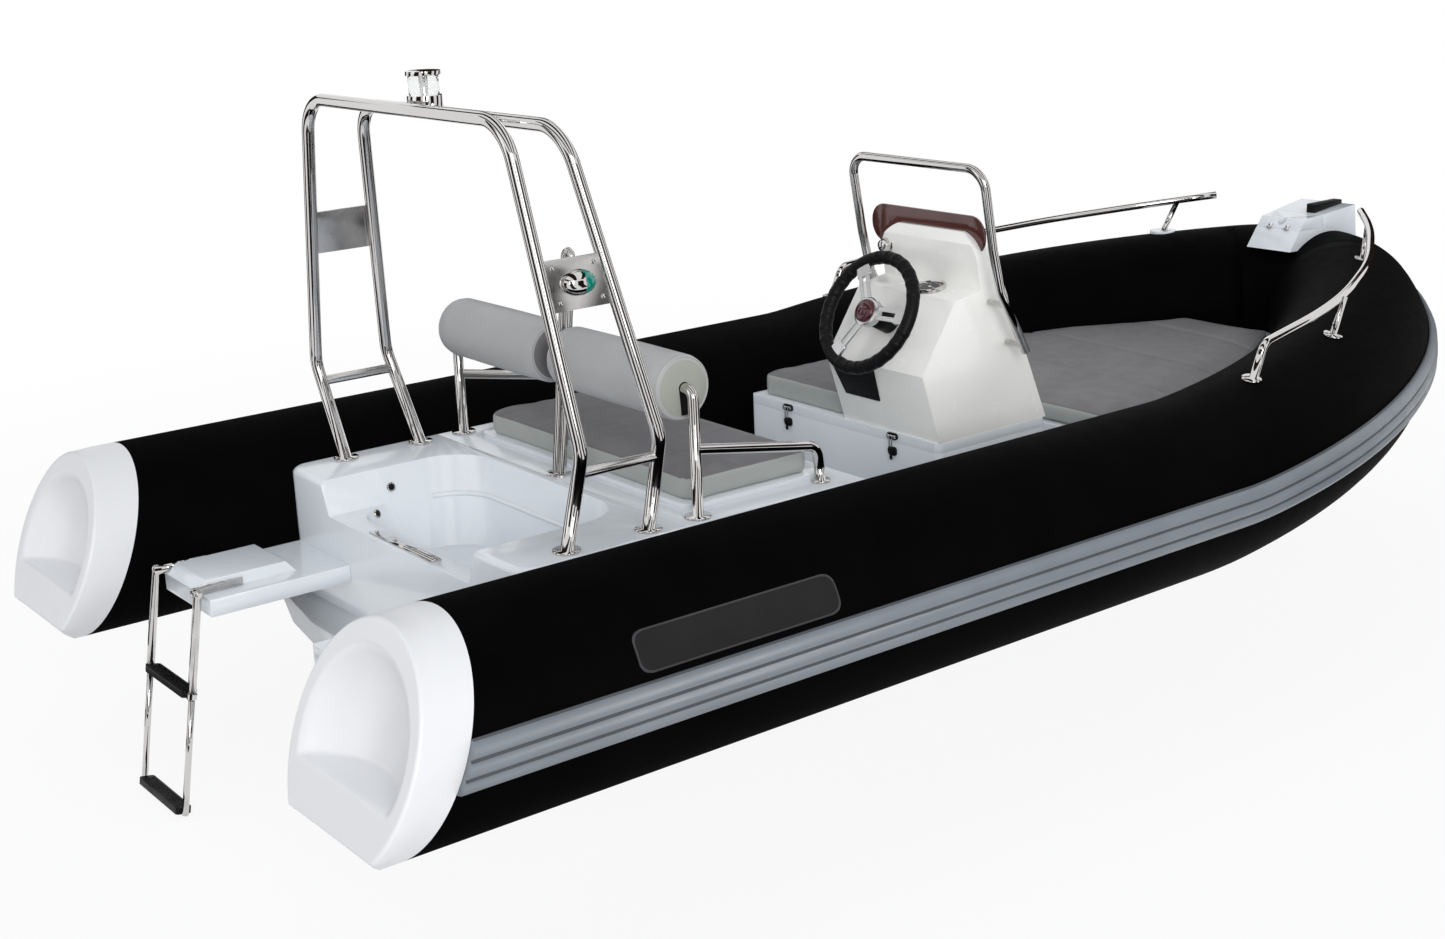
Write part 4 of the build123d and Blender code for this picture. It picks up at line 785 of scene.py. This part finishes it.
def strake_run(angle, lift, side):
    """Line along the tube's outer side from the end cap to the nose."""
    r = TUBE_R + lift
    out, rise_by = r * math.cos(angle), r * math.sin(angle)
    start = CAP_AFT + CAP_LONG + RAKE * rise_by + 0.001
    line = [Vector((start + (SHEER_X - start) * k / RUN_STEPS, side * (TUBE_Y + out), AXIS_Z + rise_by))
            for k in range(RUN_STEPS)]
    for k in range(1, KNEE_STEPS):
        bend = SHEER * k / KNEE_STEPS
        line.append(Vector((SHEER_X + (SHEER_R - rise_by) * math.sin(bend), side * (TUBE_Y + out),
                            AXIS_Z + SHEER_R - (SHEER_R - rise_by) * math.cos(bend))))
    for k in range(BOW_STEPS + 1):
        line.append(swing(math.degrees(BOW_TURN) * k / BOW_STEPS, out, rise_by, side))
    end_y = TUBE_Y - BOW_R * (1 - math.cos(BOW_TURN))
    for k in range(1, BOW_STEPS + 1):
        h = BOW_TURN + (math.pi / 2 - BOW_TURN) * k / BOW_STEPS
        u = BOW_R * math.sin(BOW_TURN) + NOSE_R * (math.sin(h) - math.sin(BOW_TURN)) + out * math.sin(h)
        y = end_y - NOSE_R * (math.cos(BOW_TURN) - math.cos(h)) + out * math.cos(h)
        line.append(bow_point(u, side * y, rise_by))
    return line


# Painted shade: dark rods along the strake's grooves and upper edge
bm = bmesh.new()
for side in (-1, 1):
    for angle, lift, thick in STRAKE_SHADE_LINES:
        rod(bm, strake_run(math.radians(angle), lift, side), thick, 8)
done(bm, "strake_shade_lines", STRAKE_SHADE, "boat", angle=60)

# Blank patch on the starboard tube
PATCH_X, PATCH_LONG = 0.274, 0.555
PATCH_MID, PATCH_SPAN = math.radians(62.6), math.radians(22.2)
PATCH_HIGH = PATCH_SPAN * TUBE_R
PATCH_ROUND, PATCH_SLANT, PATCH_SINK = 0.028, 0.003, 0.0006
PATCH_ROWS, PATCH_COLS = 24, 40


def tube_skin(x, angle, lift):
    """Point on the starboard tube's straight run, angle from its crown outboard."""
    r = TUBE_R + lift
    return Vector((x, -TUBE_Y - r * math.sin(angle), AXIS_Z + r * math.cos(angle)))


def patch_rows(bm, long, high, lift):
    """Rounded rectangle laid on the tube."""
    grid = []
    for i in range(PATCH_ROWS + 1):
        v = (i / PATCH_ROWS - 0.5) * high
        over = max(0.0, abs(v) - (high / 2 - PATCH_ROUND))
        half = long / 2 - PATCH_ROUND + math.sqrt(max(0.0, PATCH_ROUND ** 2 - over ** 2))
        stations = [PATCH_X + half * (2 * k / PATCH_COLS - 1) for k in range(PATCH_COLS + 1)]
        grid.append([bm.verts.new(tube_skin(x, PATCH_MID - v / TUBE_R, lift)) for x in stations])
    return grid


def border(grid):
    """Outer loop of a grid."""
    far = [row[-1] for row in grid[1:]]
    near = [row[0] for row in grid[-2:0:-1]]
    return grid[0] + far + grid[-1][::-1][1:] + near


for name, margin, lift, look in (("patch_rim", 0.0, 0.0012, PATCH_RIM), ("tube_patch", 0.008, 0.0020, PATCH)):
    bm = bmesh.new()
    top = patch_rows(bm, PATCH_LONG - margin - PATCH_SLANT, PATCH_HIGH - margin - PATCH_SLANT, lift)
    rings_to_faces(bm, top, closed=False)
    foot = patch_rows(bm, PATCH_LONG - margin, PATCH_HIGH - margin, -PATCH_SINK)
    rings_to_faces(bm, [border(foot), border(top)])
    bmesh.ops.delete(bm, geom=[v for row in foot[1:-1] for v in row[1:-1]], context="VERTS")
    done(bm, name, look, "boat")

# Camera, light and floor
cam = bpy.data.objects.new("camera", bpy.data.cameras.new("camera"))
scene.collection.objects.link(cam)
ahead = (CAM_TO - CAM_AT).normalized()
right = ahead.cross(UP).normalized()
up = right.cross(ahead)
roll_right = right * math.cos(CAM_ROLL) + up * math.sin(CAM_ROLL)
roll_up = up * math.cos(CAM_ROLL) - right * math.sin(CAM_ROLL)
turn = Matrix((roll_right, roll_up, -ahead)).transposed()
cam.matrix_world = Matrix.Translation(CAM_AT) @ turn.to_4x4()
cam.data.lens = CAM_LENS
cam.data.sensor_width = 36.0
cam.data.sensor_fit = "HORIZONTAL"
scene.camera = cam
scene.view_settings.view_transform = "Standard"


def seen_rays(tree):
    """1 for rays from the camera, from gloss and through glass, else 0."""
    path = node(tree, "ShaderNodeLightPath")
    first = node(tree, "ShaderNodeMath", operation="MAXIMUM")
    second = node(tree, "ShaderNodeMath", operation="MAXIMUM")
    tree.links.new(path.outputs["Is Camera Ray"], first.inputs[0])
    tree.links.new(path.outputs["Is Transmission Ray"], first.inputs[1])
    tree.links.new(first.outputs[0], second.inputs[0])
    tree.links.new(path.outputs["Is Glossy Ray"], second.inputs[1])
    return second


WHITE = (1, 1, 1, 1)
HORIZON, ZENITH = (0.77, 0.775, 0.78, 1), (0.68, 0.70, 0.73, 1)
world = bpy.data.worlds.new("studio")
scene.world = world
world.use_nodes = True
tree = world.node_tree
sky = tree.nodes["Background"]
seen = seen_rays(tree)
way = node(tree, "ShaderNodeTexCoord")
split = node(tree, "ShaderNodeSeparateXYZ")
tree.links.new(way.outputs["Generated"], split.inputs["Vector"])
bands = node(tree, "ShaderNodeValToRGB")
bands.color_ramp.elements[0].position = 0.0
bands.color_ramp.elements[0].color = HORIZON
bands.color_ramp.elements[1].position = 0.8
bands.color_ramp.elements[1].color = ZENITH
tree.links.new(split.outputs["Z"], bands.inputs["Fac"])
mix = node(tree, "ShaderNodeMix", data_type="RGBA")
tree.links.new(seen.outputs[0], mix.inputs["Factor"])
tree.links.new(bands.outputs["Color"], mix.inputs["A"])
mix.inputs["B"].default_value = WHITE
tree.links.new(mix.outputs["Result"], sky.inputs["Color"])
sky.inputs["Strength"].default_value = 1.0

# Soft boxes: (name, place, aim, size, power)
LAMPS = [
    ("key", (-4.0, -9.5, 4.2), (1.2, 0, 0.4), 5.0, 590),
    ("fill", (-5.5, 1.5, 2.6), (0.6, 0, 0.4), 3.0, 10),
    ("rim", (5.5, 3.5, 4.5), (2.0, 0, 0.4), 3.0, 14),
]
for name, at, aim, size, power in LAMPS:
    lamp = bpy.data.lights.new(name, "AREA")
    lamp.size = size
    lamp.energy = power
    o = bpy.data.objects.new(name, lamp)
    o.location = at
    o.rotation_mode = "QUATERNION"
    o.rotation_quaternion = (Vector(aim) - Vector(at)).to_track_quat("-Z", "Y")
    scene.collection.objects.link(o)

# White floor that keeps a faint shadow near the boat and fades to white with distance
FLOOR_HALF = 40.0
FLOOR_MIDDLE = (1.5, 0, FLOOR_Z)
floor_mesh = bpy.data.meshes.new("floor")
floor_corners = [(-FLOOR_HALF, -FLOOR_HALF, FLOOR_Z), (FLOOR_HALF, -FLOOR_HALF, FLOOR_Z),
                 (FLOOR_HALF, FLOOR_HALF, FLOOR_Z), (-FLOOR_HALF, FLOOR_HALF, FLOOR_Z)]
floor_mesh.from_pydata(floor_corners, [], [(0, 1, 2, 3)])
floor = bpy.data.objects.new("floor", floor_mesh)
scene.collection.objects.link(floor)
floor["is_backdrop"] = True
paper = bpy.data.materials.new("paper")
paper.use_nodes = True
tree = paper.node_tree
seen = seen_rays(tree)
white = node(tree, "ShaderNodeEmission", Strength=1.0)
white.inputs["Color"].default_value = WHITE
dull = tree.nodes["Principled BSDF"]
dull.inputs["Base Color"].default_value = (0.8, 0.8, 0.8, 1)
dull.inputs["Roughness"].default_value = 0.9
dull.inputs["Specular IOR Level"].default_value = 0.0
blend = node(tree, "ShaderNodeMixShader")
spot = node(tree, "ShaderNodeTexCoord")
reach = node(tree, "ShaderNodeVectorMath", operation="DISTANCE")
reach.inputs[1].default_value = FLOOR_MIDDLE
fade = node(tree, "ShaderNodeMapRange", From_Min=2.6, From_Max=6.0, To_Min=0.89, To_Max=1.0)
share = node(tree, "ShaderNodeMath", operation="MULTIPLY")
tree.links.new(spot.outputs["Object"], reach.inputs[0])
tree.links.new(reach.outputs["Value"], fade.inputs["Value"])
tree.links.new(fade.outputs["Result"], share.inputs[1])
tree.links.new(seen.outputs[0], share.inputs[0])
tree.links.new(share.outputs[0], blend.inputs["Fac"])
tree.links.new(dull.outputs[0], blend.inputs[1])
tree.links.new(white.outputs[0], blend.inputs[2])
tree.links.new(blend.outputs[0], tree.nodes["Material Output"].inputs["Surface"])
floor_mesh.materials.append(paper)

# Dark flags seen only by gloss rays, painting dark reflections into the polished metal, lying on the floor,
# standing round the set and hung overhead:
# (azimuth, width in degrees, height) and (aft edge, fore edge)
FLAGS = [(14, 24, 4.5), (58, 20, 5.5), (104, 26, 4.5), (150, 20, 5.5), (196, 26, 4.0), (238, 16, 5.5),
         (280, 24, 4.5), (324, 20, 5.5)]
FLAG_X, FLAG_IN, FLAG_R, FLAG_Z = 1.3, 2.3, 9.0, FLOOR_Z + 0.01
OVERHEAD = ((-5.2, -3.2), (-0.9, 0.9), (3.4, 5.6))
OVERHEAD_HALF, OVERHEAD_Z = 8, 6.0
flag_mesh = bpy.data.meshes.new("flags")
corners, quads = [], []
for azimuth, wide, high in FLAGS:
    for near, low, top in ((FLAG_IN, FLAG_Z, FLAG_Z), (FLAG_R, FLOOR_Z, high)):
        for way_round, r, z in ((-1, near, low), (1, near, low), (1, FLAG_R, top), (-1, FLAG_R, top)):
            t = math.radians(azimuth + way_round * wide / 2)
            corners.append((FLAG_X + r * math.cos(t), r * math.sin(t), z))
for low_x, high_x in OVERHEAD:
    corners += [(low_x, -OVERHEAD_HALF, OVERHEAD_Z), (high_x, -OVERHEAD_HALF, OVERHEAD_Z),
                (high_x, OVERHEAD_HALF, OVERHEAD_Z), (low_x, OVERHEAD_HALF, OVERHEAD_Z)]
for first in range(0, len(corners), 4):
    quads.append(tuple(range(first, first + 4)))
flag_mesh.from_pydata(corners, [], quads)
flags = bpy.data.objects.new("flags", flag_mesh)
scene.collection.objects.link(flags)
flags.visible_camera = False
flags.visible_diffuse = False
flags.visible_shadow = False
flags.visible_transmission = False
flags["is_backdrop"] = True
# Warm dark colour that only shows as painted reflections in the metal
painted_reflection_felt = bpy.data.materials.new("painted_reflection_felt")
painted_reflection_felt.use_nodes = True
painted_reflection_nap = painted_reflection_felt.node_tree.nodes["Principled BSDF"]
painted_reflection_nap.inputs["Base Color"].default_value = (0.02, 0.013, 0.010, 1)
painted_reflection_nap.inputs["Roughness"].default_value = 1.0
painted_reflection_nap.inputs["Specular IOR Level"].default_value = 0.0
flag_mesh.materials.append(painted_reflection_felt)

# Rounded edges on the mouldings and smooth shading: {node: edge radius}
EDGES = {
    "stern_deck": 0.022, "seat_base": 0.012, "platform_port": 0.006, "platform_starboard": 0.006,
    "console_locker": 0.010, "console_lid": 0.008, "console_shell": 0.020, "bow_step": 0.008,
    "bow_step_lid": 0.006, "seat_lid": 0.004, "bow_deck": 0.010, "windscreen": 0.003,
    "ladder_tread_upper": 0.003, "ladder_tread_lower": 0.003, "tow_post": 0.001, "arch_braces": 0.001,
    "arch_top_plate": 0.001, "mast_lamp": 0.003, "anchor_roller": 0.006, "rail_pad": 0.002,
    "switch_panel": 0.002,
}
for name, o in nodes.items():
    weld = o.modifiers.new("weld", "WELD")
    weld.merge_threshold = 0.00005
    for face in o.data.polygons:
        face.use_smooth = True
    if name in EDGES:
        bevel = o.modifiers.new("bevel", "BEVEL")
        bevel.width = EDGES[name]
        bevel.segments = 3
        bevel.limit_method = "ANGLE"
        bevel.angle_limit = math.radians(CREASE)
        bevel.harden_normals = True
    else:
        o.data.set_sharp_from_angle(angle=math.radians(CREASE))

lo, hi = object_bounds()
